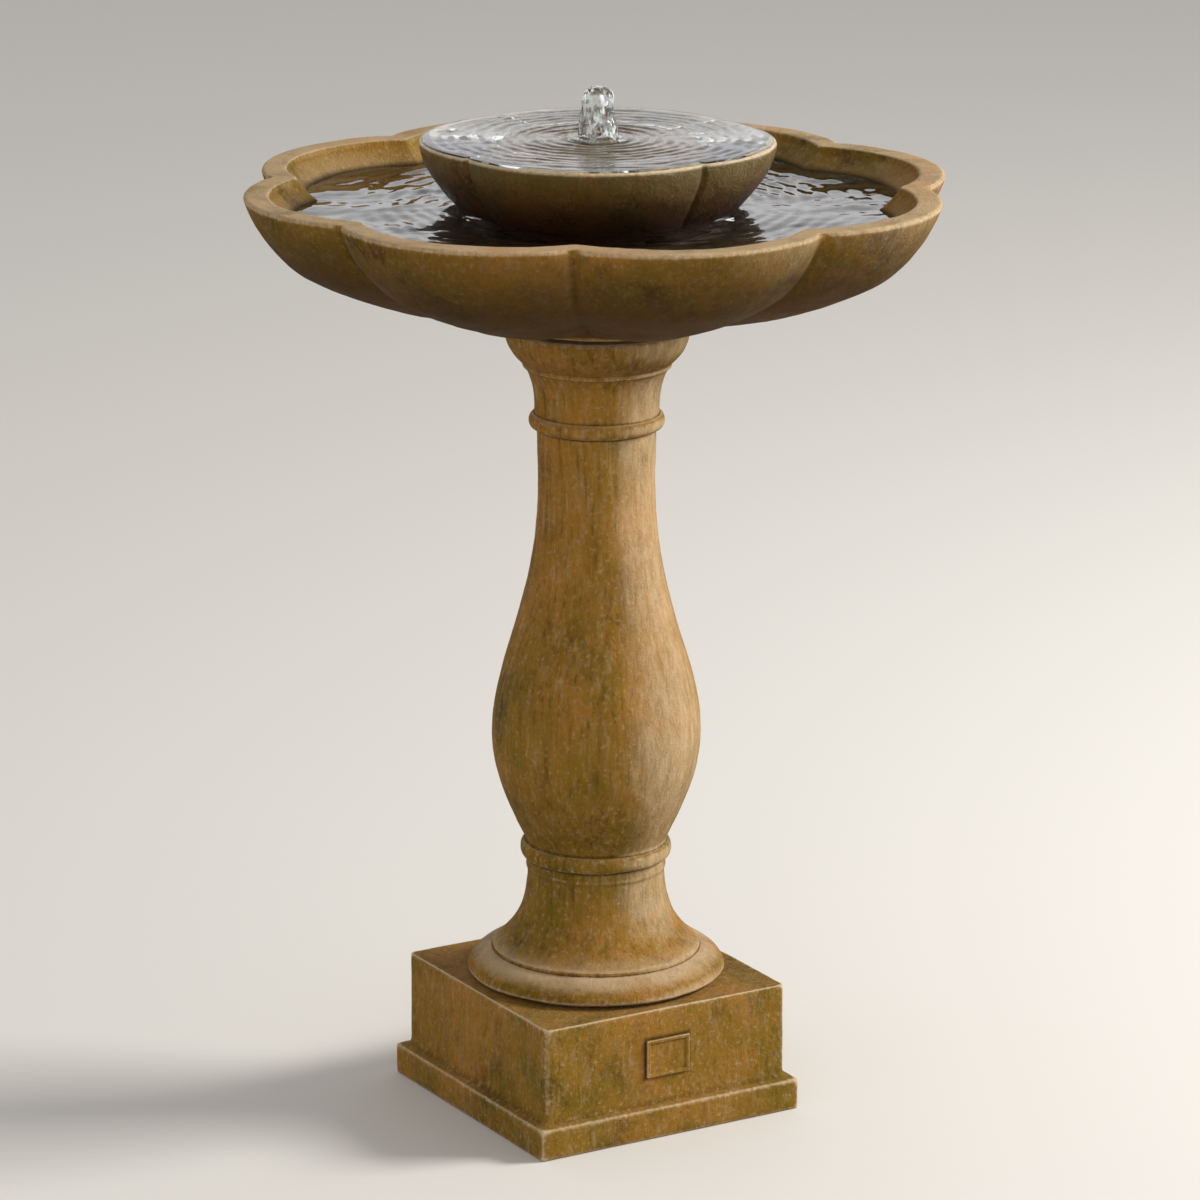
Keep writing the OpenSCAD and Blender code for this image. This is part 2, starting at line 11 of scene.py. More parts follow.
import bmesh
import bpy
import numpy as np
from mathutils import Euler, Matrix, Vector


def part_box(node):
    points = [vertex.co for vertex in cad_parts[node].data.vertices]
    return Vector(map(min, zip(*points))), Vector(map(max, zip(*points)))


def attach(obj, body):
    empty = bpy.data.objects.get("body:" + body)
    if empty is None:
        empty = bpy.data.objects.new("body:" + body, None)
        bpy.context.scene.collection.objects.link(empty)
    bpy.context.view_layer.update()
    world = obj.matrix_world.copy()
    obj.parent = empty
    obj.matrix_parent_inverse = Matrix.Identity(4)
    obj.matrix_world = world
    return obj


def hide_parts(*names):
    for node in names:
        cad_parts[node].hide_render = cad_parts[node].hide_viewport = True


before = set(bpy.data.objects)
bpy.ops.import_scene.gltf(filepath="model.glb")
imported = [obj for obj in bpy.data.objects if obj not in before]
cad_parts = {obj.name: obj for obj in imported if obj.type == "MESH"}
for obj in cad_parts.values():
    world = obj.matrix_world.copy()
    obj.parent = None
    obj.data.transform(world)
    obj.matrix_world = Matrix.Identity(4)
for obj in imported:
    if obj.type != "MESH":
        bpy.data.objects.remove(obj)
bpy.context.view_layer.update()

log = logging.getLogger("fountain")
MM = 0.001
Point = tuple[float, float]


# ---------------------------------------------------------------- shapes

def smooth_step(value: np.ndarray) -> np.ndarray:
    """Eases from 0 to 1, flat at both ends."""
    clipped = np.clip(value, 0, 1)
    return clipped * clipped * (3 - 2 * clipped)


class ValueNoise:
    """Smooth random values through space, the same on every run."""

    def __init__(self, seed: int) -> None:
        """Fills the lattice from a seed.

        Args:
            seed: Number that chooses the pattern.
        """
        self.size = 64
        self.lattice = np.random.default_rng(seed).uniform(-1, 1, (self.size,) * 3)

    def at(self, points: np.ndarray, feature: float, octaves: int = 3) -> np.ndarray:
        """Reads the noise at many points.

        Args:
            points: Array of points, three numbers each.
            feature: Size of the coarsest features, in the points' own unit.
            octaves: How many finer copies are added, each half as strong.

        Returns:
            One value per point, mostly between -1 and 1.
        """
        total = np.zeros(len(points))
        for octave in range(octaves):
            place = points * (2 ** octave / feature) + 17.3 * octave
            low = np.floor(place).astype(int)
            part = smooth_step(place - low)
            value = np.zeros(len(points))
            for corner in range(8):
                step = np.array([corner & 1, corner >> 1 & 1, corner >> 2 & 1])
                weight = np.prod(np.where(step, part, 1 - part), axis=1)
                index = (low + step) % self.size
                value += weight * self.lattice[index[:, 0], index[:, 1], index[:, 2]]
            total += value / 2 ** octave
        return total


def bezier(points: list[Point], count: int) -> np.ndarray:
    """Samples a cubic Bezier curve.

    Args:
        points: The curve's four control points.
        count: How many samples to return, both ends among them.

    Returns:
        The samples, two numbers each.
    """
    t = np.linspace(0, 1, count)[:, None]
    a, b, c, d = (np.array(p, float) for p in points)
    return (1 - t) ** 3 * a + 3 * (1 - t) ** 2 * t * b + 3 * (1 - t) * t * t * c + t ** 3 * d


class Outline:
    """A path of straight runs and curves, in millimetres."""

    def __init__(self, start: Point) -> None:
        """Starts the path at a point."""
        self.points = [np.array(start, float)]

    def line(self, *ends: Point) -> "Outline":
        """Adds straight runs to the given points."""
        self.points += [np.array(p, float) for p in ends]
        return self

    def curve(self, one: Point, two: Point, end: Point, count: int = 24) -> "Outline":
        """Adds a cubic curve from the path's end, with two guides and an end point."""
        self.points += list(bezier([tuple(self.points[-1]), one, two, end], count)[1:])
        return self

    def sampled(self, step: float, soften: float = 0.0) -> np.ndarray:
        """Points at even steps along the path, with its corners worn round.

        Args:
            step: Distance from one point to the next.
            soften: Reach of the rounding along the path, 0 for none.

        Returns:
            The points, two numbers each.
        """
        raw = np.array(self.points)
        run = np.r_[0, np.cumsum(np.linalg.norm(np.diff(raw, axis=0), axis=1))]
        keep = np.r_[True, np.diff(run) > 1e-9]
        raw, run = raw[keep], run[keep]
        count = max(4, int(round(run[-1] / step)) + 1)
        where = np.linspace(0, run[-1], count)
        out = np.stack([np.interp(where, run, raw[:, k]) for k in (0, 1)], axis=1)
        if soften:
            spread = soften / step
            reach = int(3 * spread) + 1
            kernel = np.exp(-0.5 * (np.arange(-reach, reach + 1) / spread) ** 2)
            kernel /= kernel.sum()
            padded = np.pad(out, ((reach, reach), (0, 0)), mode="reflect", reflect_type="odd")
            out = np.stack([np.convolve(padded[:, k], kernel, "valid") for k in (0, 1)], axis=1)
        return out


def ring_mesh(name: str, rings: np.ndarray, loop: bool = False) -> bpy.types.Object:
    """Makes a mesh of closed rings, stacked one after another.

    Args:
        name: Name of the new object.
        rings: Array of rings by points by three coordinates, in metres.
        loop: Joins the last ring to the first; otherwise both ends are capped.

    Returns:
        The new object, smooth shaded.
    """
    rows, around, _ = rings.shape
    vertices = rings.reshape(-1, 3)
    i, j = np.meshgrid(np.arange(rows if loop else rows - 1), np.arange(around), indexing="ij")
    k, up = (j + 1) % around, (i + 1) % rows
    faces = np.stack([i * around + j, i * around + k, up * around + k, up * around + j], axis=-1)
    polygons = faces.reshape(-1, 4).tolist()
    if not loop:
        polygons.append(list(range(around))[::-1])
        polygons.append([(rows - 1) * around + n for n in range(around)])
    return mesh_object(name, vertices, polygons)


def mesh_object(name: str, vertices: np.ndarray, polygons: list[list[int]]) -> bpy.types.Object:
    """Makes a smooth shaded mesh object with outward normals.

    Args:
        name: Name of the new object.
        vertices: Points, three numbers each, in metres.
        polygons: Lists of vertex numbers.

    Returns:
        The new object, linked to the scene.
    """
    data = bpy.data.meshes.new(name)
    data.from_pydata(np.asarray(vertices).tolist(), [], polygons)
    work = bmesh.new()
    work.from_mesh(data)
    bmesh.ops.recalc_face_normals(work, faces=work.faces)
    work.to_mesh(data)
    work.free()
    data.shade_smooth()
    thing = bpy.data.objects.new(name, data)
    bpy.context.scene.collection.objects.link(thing)
    return thing


def apply_modifiers(thing: bpy.types.Object) -> None:
    """Turns an object's modifiers into plain mesh."""
    bpy.context.view_layer.update()
    graph = bpy.context.evaluated_depsgraph_get()
    data = bpy.data.meshes.new_from_object(thing.evaluated_get(graph))
    thing.modifiers.clear()
    thing.data = data


def vertex_array(thing: bpy.types.Object) -> np.ndarray:
    """Reads an object's vertices as an array."""
    out = np.zeros(len(thing.data.vertices) * 3)
    thing.data.vertices.foreach_get("co", out)
    return out.reshape(-1, 3)


def normal_array(thing: bpy.types.Object) -> np.ndarray:
    """Reads an object's vertex normals as an array."""
    out = np.zeros(len(thing.data.vertices) * 3)
    thing.data.vertices.foreach_get("normal", out)
    return out.reshape(-1, 3)


def push_out(thing: bpy.types.Object, amounts: np.ndarray) -> None:
    """Moves each vertex along its normal by its own amount, in metres."""
    moved = vertex_array(thing) + normal_array(thing) * amounts[:, None]
    thing.data.vertices.foreach_set("co", moved.ravel())
    thing.data.update()


def wear_down(casting: bpy.types.Object, seed: int, broad: Point, fine: Point, loss: float,
              kept: Point) -> None:
    """Makes a turned casting's skin uneven, apart from what fits something near its axis.

    Args:
        casting: The casting.
        seed: Number that chooses the pattern of wear.
        broad: Height and size of the broad unevenness, in metres.
        fine: Height and size of the fine unevenness, in metres.
        loss: How far the skin stands back on the whole, in metres.
        kept: Radius that stays true, and the width over which the wear sets in, in metres.
    """
    noise = ValueNoise(seed)
    points = vertex_array(casting)
    uneven = broad[0] * noise.at(points, broad[1]) + fine[0] * noise.at(points, fine[1]) - loss
    distance = np.hypot(points[:, 0], points[:, 1])
    push_out(casting, uneven * smooth_step((distance - kept[0]) / kept[1]))


def cad_copy(node: str, name: str) -> bpy.types.Object:
    """Copies a CAD node's mesh into a new object with its seams welded.

    Args:
        node: Name of the CAD node.
        name: Name of the new object.

    Returns:
        The new object.
    """
    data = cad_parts[node].data.copy()
    data.materials.clear()
    work = bmesh.new()
    work.from_mesh(data)
    bmesh.ops.remove_doubles(work, verts=work.verts, dist=2e-6)
    bmesh.ops.dissolve_limit(work, angle_limit=math.radians(1), verts=work.verts, edges=work.edges)
    work.to_mesh(data)
    work.free()
    thing = bpy.data.objects.new(name, data)
    bpy.context.scene.collection.objects.link(thing)
    return thing


def cast_copy(node: str, name: str, grain: float, wear: float, seed: int) -> bpy.types.Object:
    """Copies a CAD node as a stone casting: finely meshed, edges worn, faces a little uneven.

    Args:
        node: Name of the CAD node.
        name: Name of the new object.
        grain: Size of the new mesh's faces, in metres.
        wear: How far the worn surface strays from the true one, in metres.
        seed: Number that chooses the pattern of wear.

    Returns:
        The new object.
    """
    thing = cad_copy(node, name)
    remesh = thing.modifiers.new("grain", "REMESH")
    remesh.mode = "VOXEL"
    remesh.voxel_size = grain
    smooth = thing.modifiers.new("wear", "SMOOTH")
    smooth.factor = 0.5
    smooth.iterations = 3
    apply_modifiers(thing)
    thing.data.shade_smooth()
    push_out(thing, 0.6 * wear * (ValueNoise(seed).at(vertex_array(thing), 0.05) - 1))
    return thing


# ---------------------------------------------------------------- finishes

class NodeTree:
    """A short way to write a material's nodes."""

    def __init__(self, name: str) -> None:
        """Makes an empty material with its output and shader.

        Args:
            name: Name of the material.
        """
        self.material = bpy.data.materials.new(name)
        self.material.use_nodes = True
        self.tree = self.material.node_tree
        self.tree.nodes.clear()
        self.output = self.tree.nodes.new("ShaderNodeOutputMaterial")
        self.shader = self.tree.nodes.new("ShaderNodeBsdfPrincipled")
        self.put(self.output.inputs["Surface"], self.shader.outputs[0])
        self.own = self.add("ShaderNodeTexCoord").outputs["Object"]
        self.place = self.own

    def put(self, socket: bpy.types.NodeSocket, value: object) -> None:
        """Links a socket to another one, or sets its value."""
        if isinstance(value, bpy.types.NodeSocket):
            self.tree.links.new(value, socket)
        else:
            socket.default_value = value

    def add(self, kind: str, settings: dict | None = None, **inputs: object) -> bpy.types.Node:
        """Adds a node.

        Args:
            kind: Blender's name for the node.
            settings: Attributes of the node to set.
            **inputs: Values or sockets for its inputs, by name with an underscore for each
                space, or by number after an underscore.

        Returns:
            The new node.
        """
        node = self.tree.nodes.new(kind)
        for key, value in (settings or {}).items():
            setattr(node, key, value)
        for key, value in inputs.items():
            name = int(key[1:]) if key[1:].isdigit() else key.replace("_", " ")
            self.put(node.inputs[name], value)
        return node

    def set(self, **values: object) -> None:
        """Sets or links the shader's own inputs; an underscore stands for a space."""
        for key, value in values.items():
            self.put(self.shader.inputs[key.replace("_", " ")], value)

    def stretched(self, scale: tuple[float, float, float]) -> bpy.types.NodeSocket:
        """Object coordinates multiplied along each axis."""
        return self.add("ShaderNodeMapping", Vector=self.place, Scale=scale).outputs[0]

    def noise(self, scale: float, detail: float = 4, rough: float = 0.55,
              place: bpy.types.NodeSocket | None = None, warp: float = 0) -> bpy.types.NodeSocket:
        """A noise pattern between 0 and 1.

        Args:
            scale: Features to the metre.
            detail: Number of finer layers.
            rough: Strength of the finer layers.
            place: Coordinates to read it at, the object's own if left out.
            warp: How far the pattern is distorted.

        Returns:
            The noise node's value socket.
        """
        node = self.add("ShaderNodeTexNoise", Vector=place or self.place, Scale=scale,
                        Detail=detail, Roughness=rough, Distortion=warp)
        return node.outputs["Fac"]

    def spots(self, scale: float) -> bpy.types.NodeSocket:
        """Distance to the nearest of many scattered points, 0 at each point."""
        return self.add("ShaderNodeTexVoronoi", Vector=self.place, Scale=scale).outputs["Distance"]

    def step(self, value: bpy.types.NodeSocket, low: float, high: float,
             to_low: float = 0.0, to_high: float = 1.0) -> bpy.types.NodeSocket:
        """Maps one range of a value to another, smoothly and clamped."""
        node = self.add("ShaderNodeMapRange", {"interpolation_type": "SMOOTHSTEP"}, Value=value,
                        From_Min=low, From_Max=high, To_Min=to_low, To_Max=to_high)
        return node.outputs[0]

    def math(self, kind: str, a: object, b: object = 0.0) -> bpy.types.NodeSocket:
        """One sum of two values or sockets."""
        return self.add("ShaderNodeMath", {"operation": kind}, _0=a, _1=b).outputs[0]

    def mix(self, share: object, a: object, b: object, kind: str = "MIX") -> bpy.types.NodeSocket:
        """Mixes two colours.

        Args:
            share: How much of the second colour, a value or socket.
            a: First colour, four numbers or a socket.
            b: Second colour, four numbers or a socket.
            kind: Blender's name for the way of mixing.

        Returns:
            The mixed colour.
        """
        node = self.add("ShaderNodeMix", {"data_type": "RGBA", "blend_type": kind})
        for number, value in ((0, share), (6, a), (7, b)):
            self.put(node.inputs[number], value)
        return node.outputs[2]

    def bump(self, height: bpy.types.NodeSocket, depth: float,
             under: bpy.types.NodeSocket | None = None) -> bpy.types.NodeSocket:
        """A bumped normal.

        Args:
            height: The pattern that stands up.
            depth: Its height in metres.
            under: A normal that is bumped already.

        Returns:
            The new normal.
        """
        node = self.add("ShaderNodeBump", Height=height, Distance=depth, Strength=1.0)
        if under is not None:
            self.put(node.inputs["Normal"], under)
        return node.outputs[0]


def rgb(red: float, green: float, blue: float) -> tuple[float, float, float, float]:
    """A colour from its screen values, 0 to 255, as linear light."""
    def linear(value: float) -> float:
        share = value / 255
        return share / 12.92 if share <= 0.04045 else ((share + 0.055) / 1.055) ** 2.4
    return linear(red), linear(green), linear(blue), 1.0


class Damp(Enum):
    """How wet a stone surface is."""

    DRY = 0.0
    WET = 1.0


class StonePatterns:
    """The noise that a stone finish is painted and roughened with, broad to fine."""

    def __init__(self, t: NodeTree, run: float) -> None:
        """Makes the patterns.

        Args:
            t: The material's nodes.
            run: Scale along the height, under 1 for streaks that run down.
        """
        runs = t.stretched((1, 1, run))
        short_runs = t.stretched((1, 1, max(run, 0.25)))
        self.cloud = t.noise(7, 5, 0.6)
        self.stain = t.noise(15, 8, 0.74)
        self.patches = t.noise(24, 5, 0.62, warp=0.4)
        self.broad_streak = t.noise(60, 4, 0.6, place=runs)
        self.mottle = t.noise(120, 6, 0.78, place=short_runs)
        self.streak = t.noise(230, 5, 0.7, place=runs)
        self.crumbs = t.noise(260, 4, 0.7)
        self.grain = t.noise(520, 5, 0.72)
        near_pit = t.step(t.spots(240), 0.0, 0.16, 1.0, 0.0)
        self.pits = t.math("MULTIPLY", near_pit, t.step(t.noise(60, 2), 0.5, 0.62))


@dataclass(frozen=True)
class StoneFinish:
    """Aged cast stone: stained brown, brushed and streaked, paler where it is worn, with painted light on
    the sunny side and painted shade in crevices, underneath and round the tablet.

    Attributes:
        name: Name of the material.
        damp: How wet the surface is.
        lip_height: Height of a wet rim with moss and a pale crust under it, 0 for none.
        tablet_shade_box: Half width, front, middle height and half height of a raised rectangle
        with painted shade round it.
        wet_below: Height of standing water, 0 for none.
        dust_share: Strength of the pale dust on what faces up.
        underside_shade_share: Strength of the painted shade on what faces down.
        run: Scale of the streaks along the height, small for long ones.
        streak_share: Strength of the streaks.
        stain_share: Strength of the dark stains.
        sunlit_paint_share: Strength of the painted light on the sunny side.
        seed_shift: Place in the noise, so that no two castings look alike.
    """

    name: str
    damp: Damp = Damp.DRY
    # dark is also the colour of the painted shade, and worn the colour of the painted light on the sunny
    # side.
    dark: tuple = rgb(48, 27, 0)
    body: tuple = rgb(143, 105, 34)
    warm: tuple = rgb(158, 110, 42)
    olive: tuple = rgb(114, 90, 12)
    worn: tuple = rgb(208, 182, 146)
    wash: tuple = rgb(172, 146, 108)
    moss: tuple = rgb(84, 80, 22)
    crust: tuple = rgb(214, 190, 150)
    soaked: tuple = rgb(108, 68, 24)
    sunken: tuple = rgb(34, 22, 4)
    lip_height: float = 0.0
    tablet_shade_box: tuple | None = None
    wet_below: float = 0.0
    dust_share: float = 1.0
    underside_shade_share: float = 0.45
    run: float = 0.06
    streak_share: float = 1.0
    stain_share: float = 0.4
    sunlit_paint_share: float = 0.0
    seed_shift: float = 0.0

    def build(self) -> bpy.types.Material:
        """Makes the material."""
        t = NodeTree(self.name)
        shift = (self.seed_shift, self.seed_shift * 0.7, self.seed_shift * 1.3)
        t.place = t.add("ShaderNodeVectorMath", {"operation": "ADD"}, _0=t.place, _1=shift).outputs[0]
        patterns = StonePatterns(t, self.run)
        geometry = t.add("ShaderNodeNewGeometry")
        upward = t.add("ShaderNodeSeparateXYZ", _0=geometry.outputs["Normal"]).outputs["Z"]
        colour = self.stained(t, patterns)
        colour = self.worn_edges_and_crevice_shade(t, patterns, geometry.outputs["Pointiness"], colour)
        colour = self.dust_and_painted_light(t, patterns, geometry.outputs["Normal"], upward, colour)
        colour = self.wetted(t, patterns, upward, colour)
        colour = t.mix(t.math("MULTIPLY", patterns.pits, 0.8), colour, self.dark)
        wet = self.damp.value
        rough = t.step(patterns.patches, 0.3, 0.7, 0.72 - 0.5 * wet, 0.92 - 0.5 * wet)
        t.set(Base_Color=colour, Normal=self.relief(t, patterns), Roughness=rough)
        t.set(IOR=1.45, Specular_IOR_Level=0.14 + 0.2 * wet)
        if self.damp is Damp.WET:
            t.set(Coat_Weight=0.18, Coat_Roughness=0.2, Coat_IOR=1.33)
        return t.material

    def stained(self, t: NodeTree, p: StonePatterns) -> bpy.types.NodeSocket:
        """The stone's own colour with its stains, streaks and grain.

        Args:
            t: The material's nodes.
            p: The finish's patterns.

        Returns:
            The colour.
        """
        streaks = self.streak_share
        layers = (
            (p.patches, 0.38, 0.6, 0.7, self.body),
            (p.stain, 0.5, 0.68, self.stain_share, self.dark),
            (p.mottle, 0.5, 0.7, 0.42, self.wash),
            (p.streak, 0.5, 0.7, 0.8 * streaks, self.dark),
            (p.broad_streak, 0.52, 0.72, 0.45 * streaks, self.dark),
            (p.streak, 0.46, 0.26, 0.4 * streaks, self.worn),
            (p.grain, 0.52, 0.72, 0.6, self.dark),
            (p.crumbs, 0.52, 0.76, 0.4, self.worn),
        )
        colour = t.mix(t.step(p.cloud, 0.4, 0.6), self.olive, self.warm)
        for pattern, none_at, full_at, strength, paint in layers:
            colour = t.mix(t.step(pattern, none_at, full_at, 0.0, strength), colour, paint)
        return colour

    def worn_edges_and_crevice_shade(self, t: NodeTree, p: StonePatterns, point: bpy.types.NodeSocket,
                   colour: bpy.types.NodeSocket) -> bpy.types.NodeSocket:
        """Rubs the edges pale and paints shade into hollows and crevices.

        Args:
            t: The material's nodes.
            p: The finish's patterns.
            point: How sharp the surface is at each point.
            colour: The colour so far.

        Returns:
            The new colour.
        """
        ragged = t.math("ADD", point, t.math("MULTIPLY", t.math("SUBTRACT", p.crumbs, 0.5), 0.05))
        colour = t.mix(t.step(ragged, 0.515, 0.56, 0.0, 0.85), colour, self.worn)
        # Painted shade: hollows are painted darker by their pointiness, and crevices by ambient occlusion.
        colour = t.mix(t.step(ragged, 0.487, 0.45, 0.0, 0.75), colour, self.dark)
        shade = t.add("ShaderNodeAmbientOcclusion", {"samples": 4, "only_local": True}, Distance=0.035)
        return t.mix(t.step(shade.outputs["AO"], 0.72, 0.3, 0.0, 0.7), colour, self.dark)

    def dust_and_painted_light(self, t: NodeTree, p: StonePatterns, normal: bpy.types.NodeSocket,
                  upward: bpy.types.NodeSocket, colour: bpy.types.NodeSocket) -> bpy.types.NodeSocket:
        """Adds painted light on the sunny side, dust, and painted shade on undersides and round the tablet.

        Args:
            t: The material's nodes.
            p: The finish's patterns.
            normal: The surface's direction.
            upward: How far the surface faces up.
            colour: The colour so far.

        Returns:
            The new colour.
        """
        # Painted light: the sunny side is painted paler, in the worn colour.
        if self.sunlit_paint_share:
            colour = t.mix(self.painted_sunlit_side(t, normal, p.mottle), colour, self.worn)
        dust = t.math("MULTIPLY", t.step(upward, 0.6, 0.98), t.step(p.patches, 0.25, 0.6, 0.25, 0.7))
        dust = t.math("MULTIPLY", dust, self.dust_share * (1 - 0.8 * self.damp.value))
        colour = t.mix(dust, colour, self.worn)
        # Painted shade: what faces down is painted darker.
        under = t.math("MULTIPLY", t.step(upward, -0.02, -0.85), self.underside_shade_share)
        colour = t.mix(under, colour, self.dark)
        # Painted shade round the tablet.
        return t.mix(self.painted_tablet_shade(t), colour, self.dark) if self.tablet_shade_box else colour

    def wetted(self, t: NodeTree, p: StonePatterns, upward: bpy.types.NodeSocket,
               colour: bpy.types.NodeSocket) -> bpy.types.NodeSocket:
        """Darkens what is soaked or under water, and grows moss and crust below a wet lip.

        Args:
            t: The material's nodes.
            p: The finish's patterns.
            upward: How far the surface faces up.
            colour: The colour so far.

        Returns:
            The new colour.
        """
        height = t.add("ShaderNodeSeparateXYZ", _0=t.own).outputs["Z"]
        lip, level = self.lip_height, self.wet_below
        if self.damp is not Damp.DRY:
            soak = t.step(height, lip - 0.012, lip - 0.06, 0.35, 0.95)
            colour = t.mix(soak, colour, self.soaked, "MULTIPLY")
        if level:
            sunk = t.step(height, level + 0.004, level - 0.001, 0.0, 0.9)
            sunk = t.math("MULTIPLY", sunk, t.step(upward, -0.02, 0.1))
            colour = t.mix(sunk, colour, self.sunken)
        if lip:
            near = t.step(height, lip - 0.030, lip - 0.006)
            green = t.math("MULTIPLY", near, t.step(p.patches, 0.36, 0.6, 0.0, 0.6))
            colour = t.mix(green, colour, self.moss)
            line = t.step(height, lip - 0.0040, lip - 0.0012)
            line = t.math("MULTIPLY", line, t.step(p.crumbs, 0.25, 0.6, 0.45, 0.95))
            colour = t.mix(line, colour, self.crust)
        return colour

    def relief(self, t: NodeTree, p: StonePatterns) -> bpy.types.NodeSocket:
        """The bumped normal: pits, then grain, crumbs and brush marks, with heights in metres."""
        normal = t.bump(t.math("MULTIPLY", p.pits, -1.0), 0.0010)
        for pattern, depth in ((p.grain, 0.0007), (p.crumbs, 0.0011), (p.streak, 0.0006)):
            normal = t.bump(pattern, depth, normal)
        return normal

    def painted_sunlit_side(self, t: NodeTree, normal: bpy.types.NodeSocket,
               pattern: bpy.types.NodeSocket) -> bpy.types.NodeSocket:
        """Painted light: paler colour on the side that stands to the sun, a little right of the front.

        Args:
            t: The material's nodes.
            normal: The surface's direction.
            pattern: Noise that breaks the bloom up.

        Returns:
            How much painted light each point gets, between 0 and 1.
        """
        sun_side = (0.42, -0.91, 0.0)
        facing = t.add("ShaderNodeVectorMath", {"operation": "DOT_PRODUCT"}, _0=normal, _1=sun_side)
        sunny = t.step(facing.outputs["Value"], 0.72, 1.0, 0.0, self.sunlit_paint_share)
        return t.math("MULTIPLY", sunny, t.step(pattern, 0.32, 0.6, 0.4, 1.0))

    def painted_tablet_shade(self, t: NodeTree) -> bpy.types.NodeSocket:
        """Painted shade on the front face round a raised rectangle.

        Args:
            t: The material's nodes.

        Returns:
            How much painted shade each point gets, between 0 and 1.
        """
        half_x, front, middle, half_z = self.tablet_shade_box
        split = t.add("ShaderNodeSeparateXYZ", _0=t.own)
        from_middle = t.math("ABSOLUTE", t.math("SUBTRACT", split.outputs["Z"], middle))
        off_x = t.math("SUBTRACT", t.math("ABSOLUTE", split.outputs["X"]), half_x)
        off_z = t.math("SUBTRACT", from_middle, half_z)
        near = t.step(t.math("MAXIMUM", off_x, off_z), 0.004, 0.0, 0.0, 0.75)
        at_front = t.step(split.outputs["Y"], front + 0.004, front + 0.002)
        return t.math("MULTIPLY", near, at_front)


@dataclass(frozen=True)
class MouldedFinish:
    """Moulded plastic, rubber or resin with a fine surface texture."""

    name: str
    colour: tuple
    roughness: float = 0.5
    grain: float = 900.0
    depth: float = 0.00008
    specular: float = 0.5
    clear: float = 0.0

    def build(self) -> bpy.types.Material:
        """Makes the material."""
        t = NodeTree(self.name)
        fine = t.noise(self.grain, 3)
        film = t.noise(40, 5, 0.65)
        lime = rgb(150, 142, 120)
        colour = t.mix(t.step(film, 0.55, 0.9, 0.0, 0.35), self.colour, lime)
        rough = t.step(film, 0.3, 0.75, self.roughness - 0.08, min(1.0, self.roughness + 0.14))
        t.set(Base_Color=colour, Roughness=rough, Normal=t.bump(fine, self.depth))
        t.set(Specular_IOR_Level=self.specular, Transmission_Weight=self.clear)
        return t.material


@dataclass(frozen=True)
class MetalFinish:
    """Bare or varnished metal with a grain and a little tarnish."""

    name: str
    colour: tuple
    tarnish: tuple
    roughness: float = 0.35
    lines: tuple = (1, 1, 1)

    def build(self) -> bpy.types.Material:
        """Makes the material."""
        t = NodeTree(self.name)
        grain = t.noise(600, 3, place=t.stretched(self.lines))
        stain = t.noise(55, 5, 0.6)
        colour = t.mix(t.step(stain, 0.4, 0.75, 0.0, 0.8), self.colour, self.tarnish)
        t.set(Base_Color=colour, Metallic=1.0, Normal=t.bump(grain, 0.00005),
              Roughness=t.step(stain, 0.3, 0.8, self.roughness, self.roughness + 0.3))
        return t.material


@dataclass(frozen=True)
class WaterFinish:
    """Clear water, with more or less air in it."""

    name: str
    tint: tuple = (0.93, 0.96, 0.95, 1.0)
    foam: float = 0.0
    ripple: float = 0.0

    def build(self) -> bpy.types.Material:
        """Makes the material."""
        t = NodeTree(self.name)
        t.set(Base_Color=self.tint, Roughness=0.01, Transmission_Weight=1.0)
        t.set(IOR=1.333)
        if self.ripple:
            t.set(Normal=t.bump(t.noise(45, 3, 0.5, warp=0.6), self.ripple))
        if self.foam:
            air = t.noise(160, 4, 0.6, place=t.stretched((1, 1, 0.45)))
            share = t.step(air, 0.5, 0.62, 0.0, self.foam)
            t.set(Transmission_Weight=t.math("SUBTRACT", 1.0, share))
        return t.material


# ---------------------------------------------------------------- pieces

def dress(piece: bpy.types.Object, material: bpy.types.Material, body: str, slot: str,
          *nodes: str) -> None:
    """Gives a piece its material and body, and hides the CAD nodes that it stands for.

    Args:
        piece: The new piece.
        material: Its finish.
        body: Name of the CAD body that it rides on.
        slot: Name of the record's material slot; not used.
        *nodes: CAD nodes that it replaces.
    """
    piece.data.materials.clear()
    piece.data.materials.append(material)
    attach(piece, body)
    if nodes:
        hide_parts(*nodes)
    log.info("%s: %d faces on %s", piece.name, len(piece.data.polygons), body)


